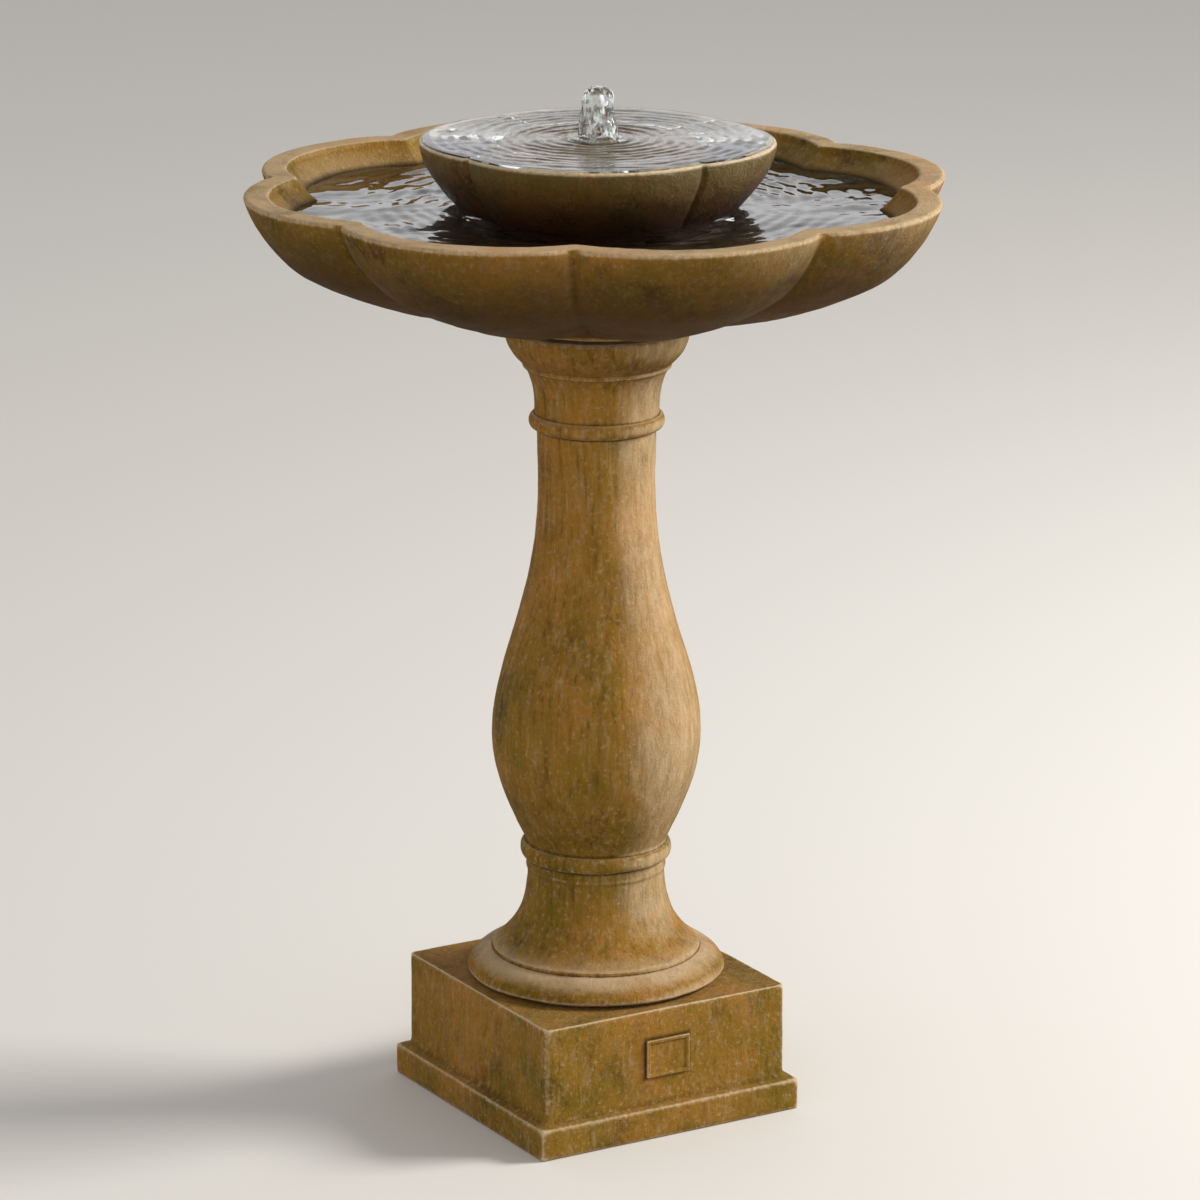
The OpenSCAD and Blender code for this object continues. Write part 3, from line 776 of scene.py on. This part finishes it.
@dataclass
class Lobes:
    """An outline of equal round lobes.

    Attributes:
        count: How many lobes.
        radius: Greatest radius of the outline, in millimetres.
        arc: Radius of one lobe, in millimetres.
        turn: Direction of a lobe's middle, in degrees.
        soft: How softly two lobes run into each other, in millimetres.
        crease: Depth of the cut crease between them, in millimetres.
        crease_width: Half width of the crease, in radians.
    """

    count: int
    radius: float
    arc: float
    turn: float
    soft: float = 1.6
    crease: float = 2.6
    crease_width: float = 0.022

    def angles(self, count: int, crowding: float = 0.62) -> np.ndarray:
        """Directions that crowd together at the creases.

        Args:
            count: How many directions, spread over the full turn.
            crowding: How strongly they crowd, 0 for even steps.

        Returns:
            The directions, in radians.
        """
        even = even_angles(count)
        return even + math.radians(self.turn) + crowding * np.sin(self.count * even) / self.count

    def groove(self, angles: np.ndarray) -> np.ndarray:
        """Depth of the cut crease in each direction, 1 at its bottom."""
        span = 2 * math.pi / self.count
        off = (angles - math.radians(self.turn)) % span - span / 2
        return np.exp(-(off / self.crease_width) ** 2)

    def share(self, angles: np.ndarray, inset: float = 0.0) -> np.ndarray:
        """Radius of the outline over its lobe radius.

        Args:
            angles: Directions from the middle, in radians.
            inset: How far the outline is drawn in, in millimetres.

        Returns:
            One share per direction, 1 in the middle of a lobe.
        """
        arc = self.arc - inset
        middle = self.radius - self.arc
        near = []
        for lobe in range(self.count):
            off = angles - math.radians(self.turn) - 2 * math.pi * lobe / self.count
            under = np.maximum(arc ** 2 - (middle * np.sin(off)) ** 2, 0)
            near.append(np.where(np.cos(off) > 0.2, middle * np.cos(off) + np.sqrt(under), 0))
        stack = np.stack(near) / self.soft
        top = stack.max(axis=0)
        blended = self.soft * (top + np.log(np.exp(stack - top).sum(axis=0)))
        cut = self.crease * self.groove(angles) if inset == 0 else 0
        return (blended - cut) / (middle + arc)


def lobed_rings(profile: np.ndarray, strength: np.ndarray, share: np.ndarray,
                angles: np.ndarray) -> np.ndarray:
    """Turns a profile into rings that follow a lobed outline.

    Args:
        profile: Lobe radius and height of each ring, in millimetres.
        strength: How far each ring follows the lobes, 0 for a circle.
        share: The outline for each ring and direction.
        angles: The directions.

    Returns:
        Rings of points, in metres.
    """
    radius = profile[:, :1] * (1 - strength[:, None] + strength[:, None] * share)
    out = np.empty((len(profile), len(angles), 3))
    out[..., 0] = radius * np.cos(angles)
    out[..., 1] = radius * np.sin(angles)
    out[..., 2] = profile[:, 1:2]
    return out * MM


def round_rings(profile: np.ndarray, angles: np.ndarray) -> np.ndarray:
    """Turns a profile into plain circles, in metres."""
    rows = len(profile)
    return lobed_rings(profile, np.zeros(rows), np.ones((rows, len(angles))), angles)


def even_angles(count: int) -> np.ndarray:
    """Directions at even steps over the full turn, in radians."""
    return np.linspace(0, 2 * math.pi, count, endpoint=False)


def flat_rings(radius: np.ndarray, angles: np.ndarray) -> np.ndarray:
    """Rings of points at the given radii, all at height 0."""
    return np.stack([radius * np.cos(angles), radius * np.sin(angles), radius * 0], axis=-1)


@dataclass(frozen=True)
class Ripples:
    """Ring waves that spread over a sheet of water from its middle, in metres.

    Attributes:
        height: Height of a wave over the mean.
        length: Distance from one wave to the next.
        stray: How far the rings stray from true circles.
        stray_size: Size of the bends that this gives them.
        calm: Share of their height that they lose on the way out.
        calm_from: Distance at which they begin to lose it.
        calm_over: Width over which they lose it.
    """

    height: float
    length: float
    stray: float
    stray_size: float
    calm: float
    calm_from: float
    calm_over: float

    def at(self, points: np.ndarray, noise: ValueNoise) -> np.ndarray:
        """Height of the waves at each point.

        Args:
            points: Array of points, three numbers each.
            noise: The sheet's own noise.

        Returns:
            One height per point.
        """
        distance = np.hypot(points[:, 0], points[:, 1])
        strayed = distance + self.stray * noise.at(points, self.stray_size, 2)
        fade = 1 - self.calm * smooth_step((distance - self.calm_from) / self.calm_over)
        return self.height * np.sin(strayed * 2 * math.pi / self.length) * fade


def node_z(node: str) -> tuple[float, float]:
    """Lowest and highest point of a CAD node, in millimetres."""
    low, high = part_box(node)
    return low.z / MM, high.z / MM


@dataclass
class Plinth:
    """The square base casting and its blank tablet."""

    grain: float = 0.003

    def build(self, stone: bpy.types.Material, plate: bpy.types.Material) -> None:
        """Makes both pieces.

        Args:
            stone: Finish of the casting.
            plate: Finish of the tablet.
        """
        casting = cast_copy("base_plinth", "plinth_casting", self.grain, 0.0007, 11)
        dress(casting, stone, "stand", "cast_stone", "base_plinth")
        tablet = cast_copy("blank_tablet", "tablet_casting", 0.0009, 0.0003, 12)
        dress(tablet, plate, "stand", "cast_stone", "blank_tablet")


@dataclass
class Column:
    """The turned baluster; its fields are radii in millimetres, but for the count of points round it."""

    waist: float = 60.3
    belly: float = 91.0
    neck: float = 50.7
    collar: float = 66.2
    ring: float = 58.3
    foot: float = 113.0
    top: float = 79.6
    bore: float = 26.0
    around: int = 176

    def outline(self) -> Outline:
        """Radius and height over the column's own foot, in millimetres."""
        lip = self.foot - 22.0
        waist, neck, belly = self.waist, self.neck, self.belly
        path = Outline((self.bore, 1)).line((self.foot - 2, 0.3), (self.foot, 2.5))
        path.curve((self.foot + 0.2, 9), (self.foot - 9, 17.5), (lip + 2, 20.5))
        path.line((lip, 20.5), (lip, 24.5))
        path.line((lip - 1.5, 24.7)).curve((waist + 8, 42), (waist + 0.5, 64), (waist, 90))
        path.line((waist, 92)).curve((waist + 1.9, 93), (waist + 1.9, 98), (waist, 99.5), 8)
        path.line((waist + 0.4, 103.5), (self.collar - 2.2, 103.9))
        path.curve((self.collar + 1.2, 106), (self.collar + 1.2, 116), (self.collar - 2.2, 118.2), 14)
        path.line((waist + 1.6, 119)).curve((belly - 15, 150), (belly, 179), (belly, 216))
        path.curve((belly, 282), (neck, 330), (neck, 439))
        path.line((neck + 0.8, 485.6), (self.ring - 3, 486))
        path.curve((self.ring + 1.4, 488), (self.ring + 1.4, 497), (self.ring - 3, 499), 12)
        path.line((neck + 3.2, 499.6), (neck + 3.3, 502))
        path.curve((neck + 3.3, 520), (neck + 6.3, 530), (neck + 11.3, 539))
        path.line((neck + 13.6, 539.4), (neck + 13.6, 543.5), (self.top - 14, 544))
        path.curve((self.top - 6.8, 550), (self.top, 559), (self.top, 572))
        return path.line((self.top - 2, 574.8), (self.bore, 574.8))

    def build(self, stone: bpy.types.Material) -> None:
        """Makes the casting.

        Args:
            stone: Its finish.
        """
        low, _ = node_z("pedestal_column")
        profile = self.outline().sampled(1.7, 0.9)
        profile[:, 1] += low
        rings = round_rings(profile, even_angles(self.around))
        casting = ring_mesh("column_casting", rings, loop=True)
        wear_down(casting, 21, (0.0005, 0.06), (0.0002, 0.012), 0.0006, (0.03, 0.01))
        dress(casting, stone, "column", "cast_stone", "pedestal_column")


@dataclass
class Basin:
    """The eight-lobed basin and the water that stands in it, in millimetres.

    Attributes:
        lobes: Outline of the rim.
        rim: Width of the rim's top.
        rim_round: Radius of its two corners.
        foot: Radius of the foot.
        floor: Radius of the flat floor.
        floor_up: Height of the floor over the foot.
        drain: Radius of the drain's bore.
        crease_lift: How much higher the underside lies at a crease, for a whole radius drawn in.
        lip: Radius of the seat round the drain.
        water_down: How far the water stands under the rim.
        around: How many points a ring has.
    """

    lobes: Lobes = field(default_factory=lambda: Lobes(8, 304.4, 146.9, 32.6))
    rim: float = 24.0
    rim_round: float = 4.0
    foot: float = 84.0
    floor: float = 108.0
    floor_up: float = 41.0
    drain: float = 20.0
    crease_lift: float = 90.0
    lip: float = 26.3
    water_down: float = 20.5
    around: int = 448

    def outside(self, low: float, high: float) -> np.ndarray:
        """Radius and height of the outside, from the foot to the middle of the rim's top."""
        radius, side_z, edge_z = self.lobes.radius, low + 55, high - self.rim_round
        path = Outline((self.foot - 1, low)).line((self.foot, low + 1), (self.foot, low + 5))
        path.curve((self.foot + 48, low + 4), (radius - 85.6, side_z - 24), (radius - 45.6, side_z), 40)
        path.curve((radius - 27.6, side_z + 12.5), (radius - 9.1, edge_z - 27.5), (radius, edge_z), 40)
        path.curve((radius, high - 1.2), (radius - 1.8, high), (radius - self.rim_round, high), 8)
        return path.line((radius - self.rim / 2, high)).sampled(2.0, 0.8)

    def inside(self, floor_z: float, high: float) -> np.ndarray:
        """Radius and height of the inside, from the middle of the rim's top to the drain."""
        mouth, edge_z = self.lobes.radius - self.rim, high - self.rim_round
        path = Outline((self.lobes.radius - self.rim / 2, high)).line((mouth + self.rim_round, high))
        path.curve((mouth + 1.8, high), (mouth, high - 1.2), (mouth, edge_z), 8)
        path.curve((mouth - 30.6, floor_z + 42), (self.floor + 72, floor_z + 12), (self.floor, floor_z), 50)
        return path.line((self.lip, floor_z)).sampled(2.2, 0.8)

    def shares(self, points: np.ndarray, own: np.ndarray, middle: np.ndarray, corner: float,
               edge_z: float) -> np.ndarray:
        """Outline of each ring, blended over the rim's top so that both sides meet in its middle.

        Args:
            points: Radius and height of each ring.
            own: The outline of this side.
            middle: The outline of the middle of the rim's top.
            corner: Radius at which this side's corner passes into the rim's top.
            edge_z: Height over which a ring belongs to the rim's top.

        Returns:
            The outline for each ring and direction.
        """
        across = self.lobes.radius - self.rim / 2 - corner
        near = np.clip((points[:, 0] - corner) / across, 0, 1) * (points[:, 1] > edge_z)
        return own * (1 - near[:, None]) + middle * near[:, None]

    def build(self, stone: bpy.types.Material, water: bpy.types.Material) -> None:
        """Makes the casting and the water.

        Args:
            stone: Finish of the casting.
            water: Finish of the water.
        """
        low, high = node_z("basin")
        floor_z, edge_z = low + self.floor_up, high - self.rim_round
        radius, mouth = self.lobes.radius, self.lobes.radius - self.rim
        outer, inner = self.outside(low, high), self.inside(floor_z, high)
        angles = self.lobes.angles(self.around)
        out_own, in_own = self.lobes.share(angles), self.lobes.share(angles, self.rim)
        middle = (mouth * in_own + radius * out_own) / 2 / (radius - self.rim / 2)
        out_share = self.shares(outer, out_own, middle, radius - self.rim_round, edge_z)
        in_share = self.shares(inner, in_own, middle, mouth + self.rim_round, edge_z)
        strength = smooth_step((outer[:, 0] - self.foot - 4) / 40)
        out_rings = lobed_rings(outer, strength, out_share, angles)
        under = np.clip((edge_z - outer[:, 1]) / 50, 0, 1)
        out_rings[..., 2] += (self.crease_lift * strength * under)[:, None] * (1 - out_share) * MM
        in_strength = smooth_step((inner[:, 0] - self.floor + 4) / 90)
        in_rings = lobed_rings(inner, in_strength, in_share, angles)
        seat_z = floor_z - 4
        hole = round_rings(np.array([[self.lip, seat_z], [self.drain, seat_z], [self.drain, low]]), angles)
        rings = np.concatenate([out_rings, in_rings[1:], hole])
        casting = ring_mesh("basin_casting", rings, loop=True)
        wear_down(casting, 31, (0.0006, 0.07), (0.00025, 0.014), 0.0007, (0.03, 0.02))
        dress(casting, stone, "basin", "cast_stone", "basin")
        self.fill((high - self.water_down) * MM, in_rings, angles, water)

    def fill(self, level: float, inner: np.ndarray, angles: np.ndarray,
             water: bpy.types.Material) -> None:
        """Makes the body of water that stands in the basin, round the pump and under the bowl too.

        Args:
            level: Height of the water, in metres.
            inner: The basin's inner rings, from the rim down, in metres.
            angles: Direction of each point in a ring.
            water: Finish of the water.
        """
        into_stone, under_floor, flat_floor = 0.0025, 0.0012, 0.0002
        wet = inner[inner[:, 0, 2] < level]
        edge = np.hypot(wet[0, :, 0], wet[0, :, 1]) + into_stone
        top = flat_rings(edge * np.linspace(0.004, 1, 180)[:, None], angles)
        flat = top.reshape(-1, 3)
        noise = ValueNoise(35)
        ripples = Ripples(0.00028, 0.015, 0.006, 0.06, calm=1, calm_from=0.15, calm_over=0.13)
        swell = 0.00085 * noise.at(flat * np.array([1.0, 1.7, 1.0]), 0.046, 3)
        flat[:, 2] = level + ripples.at(flat, noise) + swell
        bed = wet[wet[:, 0, 2] > wet[-1, 0, 2] + flat_floor][::4]
        below = np.concatenate([bed, wet[-1:]]) - np.array([0, 0, under_floor])
        pond = ring_mesh("basin_water", np.concatenate([top, below]))
        dress(pond, water, "basin", "water")


@dataclass
class Bubbler:
    """The lobed bowl, the film of water on it and the standing water dome, in millimetres.

    Attributes:
        lobes: Outline of the lip.
        lip: Radius of the lip's outer corner.
        foot: Radius of the foot.
        room: Radius of the pump's room in the foot.
        room_up: Height of the room over the foot.
        dish: Depth of the dish under the lip.
        hole: Radius of the hole for the riser's bushing.
        flange: Radius of the bushing's flange, round which the dish stays circular.
        nozzle: Radius at which the film starts.
        around: How many points a ring has.
    """

    lobes: Lobes = field(default_factory=lambda: Lobes(4, 151.5, 121.3, 53.0, 1.2))
    lip: float = 3.0
    foot: float = 97.0
    room: float = 72.0
    room_up: float = 74.0
    dish: float = 11.0
    hole: float = 12.0
    flange: float = 17.0
    nozzle: float = 16.0
    around: int = 320

    def section(self, low: float, high: float) -> np.ndarray:
        """Radius and height all round the bowl's section, outside first."""
        r, mid_r, mid_z = self.lobes.radius, self.lobes.radius - 29.7, high - 54
        dish_z, room_z = high - self.dish, low + self.room_up
        skin = Outline((self.room, low)).line((self.foot - 1, low), (self.foot, low + 1))
        skin.curve((self.foot + 3, low + 27), (mid_r - 12, mid_z - 12), (mid_r, mid_z), 30)
        skin.curve((r - 11.7, mid_z + 18), (r - 1.2, high - self.lip - 16), (r, high - self.lip), 40)
        skin.curve((r, high - 1.2), (r - 1.2, high), (r - self.lip, high), 8)
        skin.line((r - self.lip - 5, high - 0.6))
        skin.curve((r - 32, dish_z + 2), (r - 82, dish_z), (self.flange + 3, dish_z), 30)
        skin.line((self.hole, dish_z))
        room = Outline((self.hole, dish_z)).line((self.hole, room_z), (self.room - 3, room_z))
        room.line((self.room, room_z - 3), (self.room, low))
        return np.concatenate([skin.sampled(2.0, 0.9), room.sampled(6.0)[1:-1]])

    def lobing(self, section: np.ndarray, low: float, high: float) -> np.ndarray:
        """How far each ring follows the lobes: the foot in part, the lip fully, the room not at all.

        Args:
            section: Radius and height of each ring.
            low: Height of the bowl's foot, in millimetres.
            high: Height of the bowl's lip, in millimetres.

        Returns:
            One share per ring, 0 for a circle.
        """
        radius, height = section[:, 0], section[:, 1]
        outside = np.arange(len(section)) <= int(np.argmax(height))
        rising = 0.45 + 0.55 * smooth_step((height - low - 20) / 60)
        falling = smooth_step((radius - self.flange - 10) / 90)
        in_room = (radius <= self.room + 1e-6) & (height < high - self.dish - 0.5)
        strength = np.where(in_room, 0, np.where(outside, rising, falling))
        return np.where(outside, strength * smooth_step((radius - self.room) / 14), strength)

    def build(self, stone: bpy.types.Material, water: bpy.types.Material,
              dome: bpy.types.Material) -> None:
        """Makes the bowl, the film and the dome.

        Args:
            stone: Finish of the bowl.
            water: Finish of the film.
            dome: Finish of the standing water dome.
        """
        low, high = node_z("bubbler_bowl")
        section = self.section(low, high)
        angles = self.lobes.angles(self.around)
        share = np.tile(self.lobes.share(angles), (len(section), 1))
        rings = lobed_rings(section, self.lobing(section, low, high), share, angles)
        bowl = ring_mesh("bubbler_casting", rings, loop=True)
        self.cut_arches(bowl, low)
        wear_down(bowl, 41, (0.0006, 0.05), (0.0003, 0.011), 0.0007, (0.076, 0.01))
        dress(bowl, stone, "bubbler", "wet_stone", "bubbler_bowl")
        self.flood(high, angles, water)
        self.spout(dome)

    def cut_arches(self, bowl: bpy.types.Object, low: float, width: float = 24,
                   height: float = 13) -> None:
        """Cuts the four round-headed inlet arches through the bowl's foot.

        Args:
            bowl: The bowl.
            low: Height of the bowl's foot, in millimetres.
            width: Width of an arch.
            height: Height of an arch.
        """
        half = width / 2
        crown = np.linspace(0, math.pi, 13)
        section = [(half, -2.0)] + [(half * math.cos(a), height - 7 + 6.8 * math.sin(a)) for a in crown]
        section.append((-half, -2.0))
        for quarter in range(4):
            turn = quarter * math.pi / 2
            along, across = math.cos(turn), math.sin(turn)
            rings = [[(out * along - side * across, out * across + side * along, low + up)
                      for side, up in section] for out in (60.0, 112.0)]
            cutter = ring_mesh("arch_cutter", np.array(rings) * MM)
            cut = bowl.modifiers.new("arch", "BOOLEAN")
            cut.operation = "DIFFERENCE"
            cut.solver = "EXACT"
            cut.object = cutter
            apply_modifiers(bowl)
            bpy.data.objects.remove(cutter)
        bowl.data.shade_smooth()

    def flood(self, high: float, angles: np.ndarray, water: bpy.types.Material) -> None:
        """Makes the film of water that spreads over the bowl's top in rings.

        Args:
            high: Height of the bowl's lip, in millimetres.
            angles: Direction of each point in a ring.
            water: Finish of the water.
        """
        edge = (self.lobes.radius - 3.4) * self.lobes.share(angles)
        share = np.linspace(0, 1, 170)[:, None]
        radius = self.nozzle + (edge - self.nozzle) * share
        top = flat_rings(radius, angles) * MM
        flat = top.reshape(-1, 3)
        noise = ValueNoise(45)
        ripples = Ripples(0.00052, 0.0115, 0.0042, 0.032, calm=0.55, calm_from=0.03, calm_over=0.09)
        wave = ripples.at(flat, noise) + 0.0005 * noise.at(flat, 0.017, 3)
        distance = np.hypot(flat[:, 0], flat[:, 1])
        mound = 0.003 * np.exp(-((distance - 0.014) / 0.012) ** 2)
        inward = (edge[None, :] - radius).ravel()
        brim = 0.0009 * np.sqrt(np.clip(inward / 6, 0, 1)) - 0.0003
        flat[:, 2] = high * MM + brim + (wave + mound) * smooth_step(inward / 16)
        under = top[::-10].copy()
        under[..., 2] = (high - 0.9 - self.dish * smooth_step(1 - share[::-10] ** 2)) * MM
        film = ring_mesh("bubbler_film", np.concatenate([top, under]), loop=True)
        dress(film, water, "bubbler", "water")

    def spout(self, finish: bpy.types.Material) -> None:
        """Makes the standing dome of water, with lumps and folds in its skin.

        Args:
            finish: Finish of the water.
        """
        low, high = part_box("water_jet")
        height = (high.z - low.z) / MM
        path = Outline((0.01, 0)).line((18, 0)).curve((20.5, 0.5), (20.5, 3), (18, 4.5), 8)
        path.curve((17.0, 8), (15.8, 14), (15.0, height * 0.42), 14)
        path.curve((14.2, height * 0.54), (12.0, height * 0.58), (12.6, height * 0.66), 8)
        path.curve((14.8, height * 0.84), (11, height - 1.2), (0.01, height - 0.8), 14)
        profile = path.sampled(0.9, 0.5)
        profile[:, 0] = np.maximum(profile[:, 0], 0.02)
        profile[:, 1] += low.z / MM
        rings = round_rings(profile, even_angles(96))
        dome = ring_mesh("water_dome", rings)
        skin = ValueNoise(47)
        points = vertex_array(dome)
        squeezed = points * np.array([1.0, 1.0, 0.55])
        up = np.clip((points[:, 2] - low.z) / (high.z - low.z), 0, 1)
        lumps = 0.0024 * skin.at(squeezed, 0.010, 2) + 0.0009 * skin.at(squeezed, 0.004, 2)
        hold = smooth_step(up / 0.12) * smooth_step((1.02 - up) / 0.1)
        push_out(dome, np.minimum(lumps - 0.0004, 0.0008) * hold)
        dress(dome, finish, "bubbler", "water", "water_jet")


@dataclass
class Hidden:
    """Pads, riser and pump: solid model pieces that keep their own shape and get a finish."""

    finishes: dict = field(default_factory=lambda: {
        "rubber": MouldedFinish("rubber", rgb(34, 34, 34), 0.75, 700, 0.00012, 0.3),
        "pump_shell": MouldedFinish("pump_shell", rgb(30, 31, 34), 0.5, 1400, 0.00005),
        "impeller_grey": MouldedFinish("impeller_grey", rgb(196, 198, 202), 0.4, 900, 0.00003),
        "resin": MouldedFinish("resin", rgb(22, 22, 22), 0.18, 60, 0.0001),
        "vinyl": MouldedFinish("vinyl", rgb(226, 232, 230), 0.12, 80, 0.00006, 0.5, 0.85),
        "ceramic": MouldedFinish("ceramic", rgb(238, 237, 230), 0.15, 1200, 0.00001),
        "ferrite": MouldedFinish("ferrite", rgb(62, 62, 66), 0.6, 1600, 0.00004),
        "foam": MouldedFinish("foam", rgb(28, 28, 28), 0.95, 1100, 0.0009, 0.1),
        "brass": MetalFinish("brass", rgb(176, 142, 66), rgb(88, 74, 42), 0.3),
        "copper": MetalFinish("copper", rgb(196, 104, 58), rgb(120, 50, 26), 0.28, (0.05, 0.05, 1.6)),
        "laminations": MetalFinish("laminations", rgb(138, 138, 140), rgb(74, 70, 66), 0.4, (1, 3, 0.05)),
    })
    pieces: dict = field(default_factory=lambda: {
        "rubber": ("lower_setting_pads", "upper_setting_pads", "cord_stopper", "bowl_pads",
                   "riser_bushing", "cord_gland", "suction_feet"),
        "pump_shell": ("pump_housing", "impeller_cover", "strainer_cover", "flow_slide"),
        "impeller_grey": ("impeller",),
        "resin": ("resin_back",),
        "vinyl": ("riser_tube",),
        "ceramic": ("front_bearing", "rear_bearing", "rotor_shaft"),
        "ferrite": ("rotor_magnet",),
        "foam": ("filter_foam",),
        "brass": ("bubbler_nozzle",),
        "copper": ("winding_coil",),
        "laminations": ("stator_core",),
    })

    def build(self) -> None:
        """Gives each piece its finish."""
        for finish, nodes in self.pieces.items():
            material = self.finishes[finish].build()
            for node in nodes:
                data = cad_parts[node].data
                data.materials.clear()
                data.materials.append(material)
                log.info("%s: %s", node, finish)


# ---------------------------------------------------------------- light and camera

@dataclass
class Studio:
    """Pale floor, soft light and the camera.

    Attributes:
        lens: Focal length, in millimetres.
        eye: Place of the camera, in metres.
        pitch: How far the camera looks down, in degrees.
        bearing: How far it looks round to the right, in degrees.
        roll: How far it leans over, in degrees.
    """

    lens: float = 168.44
    eye: tuple = (-2.387, -3.997, 1.737)
    pitch: float = 15.474
    bearing: float = 30.847
    roll: float = -0.13

    def build(self) -> None:
        """Makes everything round the object."""
        self.floor()
        self.sky()
        self.lights()
        self.camera()

    def floor(self) -> None:
        """Makes the plain pale floor."""
        size = 30.0
        corners = np.array([[-size, -size, 0], [size, -size, 0], [size, size, 0], [-size, size, 0]])
        ground = mesh_object("floor", corners, [[0, 1, 2, 3]])
        t = NodeTree("pale_floor")
        t.set(Base_Color=rgb(222, 217, 208), Roughness=0.9)
        ground.data.materials.append(t.material)

    def sky(self) -> None:
        """Makes a soft sky, brightest in a band low over the horizon."""
        world = bpy.data.worlds.new("studio")
        bpy.context.scene.world = world
        world.use_nodes = True
        nodes, links = world.node_tree.nodes, world.node_tree.links
        nodes.clear()
        out = nodes.new("ShaderNodeOutputWorld")
        back = nodes.new("ShaderNodeBackground")
        place = nodes.new("ShaderNodeTexCoord")
        split = nodes.new("ShaderNodeSeparateXYZ")
        ramp = nodes.new("ShaderNodeValToRGB")
        links.new(place.outputs["Generated"], split.inputs[0])
        links.new(split.outputs["Z"], ramp.inputs[0])
        links.new(ramp.outputs[0], back.inputs["Color"])
        links.new(back.outputs[0], out.inputs["Surface"])
        stops = ramp.color_ramp.elements
        stops[0].position, stops[0].color = 0.0, (0.24, 0.24, 0.24, 1)
        stops[1].position, stops[1].color = 1.0, (0.20, 0.20, 0.21, 1)
        for position, level in ((0.05, 0.42), (0.14, 0.92), (0.36, 0.80), (0.55, 0.24)):
            stop = stops.new(position)
            stop.color = (level, level, level * 1.02, 1)
        back.inputs["Strength"].default_value = 1.45

    def lights(self) -> None:
        """Makes the key light on the right and a weak fill on the left."""
        self.area("key", (3.3, -1.5, 2.6), 1.4, 205)
        self.area("fill", (-2.6, -3.6, 2.8), 2.5, 20)

    def area(self, name: str, place: tuple[float, float, float], size: float, power: float) -> None:
        """Makes one square soft light that faces the fountain's middle."""
        lamp = bpy.data.lights.new(name, "AREA")
        lamp.size, lamp.energy = size, power
        thing = bpy.data.objects.new(name, lamp)
        thing.location = place
        thing.rotation_euler = (Vector((0, 0, 0.5)) - Vector(place)).to_track_quat("-Z", "Y").to_euler()
        thing.visible_camera = False
        bpy.context.scene.collection.objects.link(thing)

    def camera(self) -> None:
        """Makes the camera and sets it as the scene's own."""
        lens = bpy.data.cameras.new("camera")
        lens.sensor_width, lens.lens = 36.0, self.lens
        lens.clip_end = 100.0
        eye = bpy.data.objects.new("camera", lens)
        eye.location = self.eye
        eye.rotation_mode = "XYZ"
        eye.rotation_euler = Euler((math.radians(90 - self.pitch), math.radians(self.roll),
                                    math.radians(-self.bearing)))
        bpy.context.scene.collection.objects.link(eye)
        bpy.context.scene.camera = eye


def main() -> None:
    """Builds the fountain's looks, piece by piece."""
    logging.basicConfig(level=logging.INFO, format="%(message)s")
    Studio().build()
    # The shares for the sunny side and the undersides paint light and shade into the stone; the tablet box
    # paints shade round the tablet.
    dry = StoneFinish("stone_column", seed_shift=0.3, streak_share=0.62, stain_share=0.4,
                      sunlit_paint_share=0.5).build()
    base_look = dict(seed_shift=1.7, streak_share=0.45, run=0.3, dust_share=0.04, stain_share=0.5)
    low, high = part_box("blank_tablet")
    tablet_box = (high.x, high.y, (low.z + high.z) / 2, (high.z - low.z) / 2)
    base = StoneFinish("stone_base", tablet_shade_box=tablet_box, **base_look).build()
    plate = StoneFinish("stone_tablet", **base_look).build()
    bowl = StoneFinish("stone_basin", seed_shift=2.9, streak_share=0.3, run=0.3, wet_below=0.794,
                       dust_share=0.8, underside_shade_share=0.85, stain_share=0.75, sunlit_paint_share=0.3).build()
    wet = StoneFinish("stone_wet", damp=Damp.WET, lip_height=0.851, seed_shift=4.1, streak_share=0.6,
                      run=0.3, stain_share=0.6, sunlit_paint_share=0.3).build()
    water = WaterFinish("basin_water_finish", ripple=0.0002).build()
    film = WaterFinish("film_water_finish").build()
    dome = WaterFinish("dome_water_finish", foam=0.7).build()
    Plinth().build(base, plate)
    Column().build(dry)
    Basin().build(bowl, water)
    Bubbler().build(wet, film, dome)
    Hidden().build()
    view = bpy.context.scene.view_settings
    view.view_transform = "Standard"


if __name__ == "__main__":
    main()
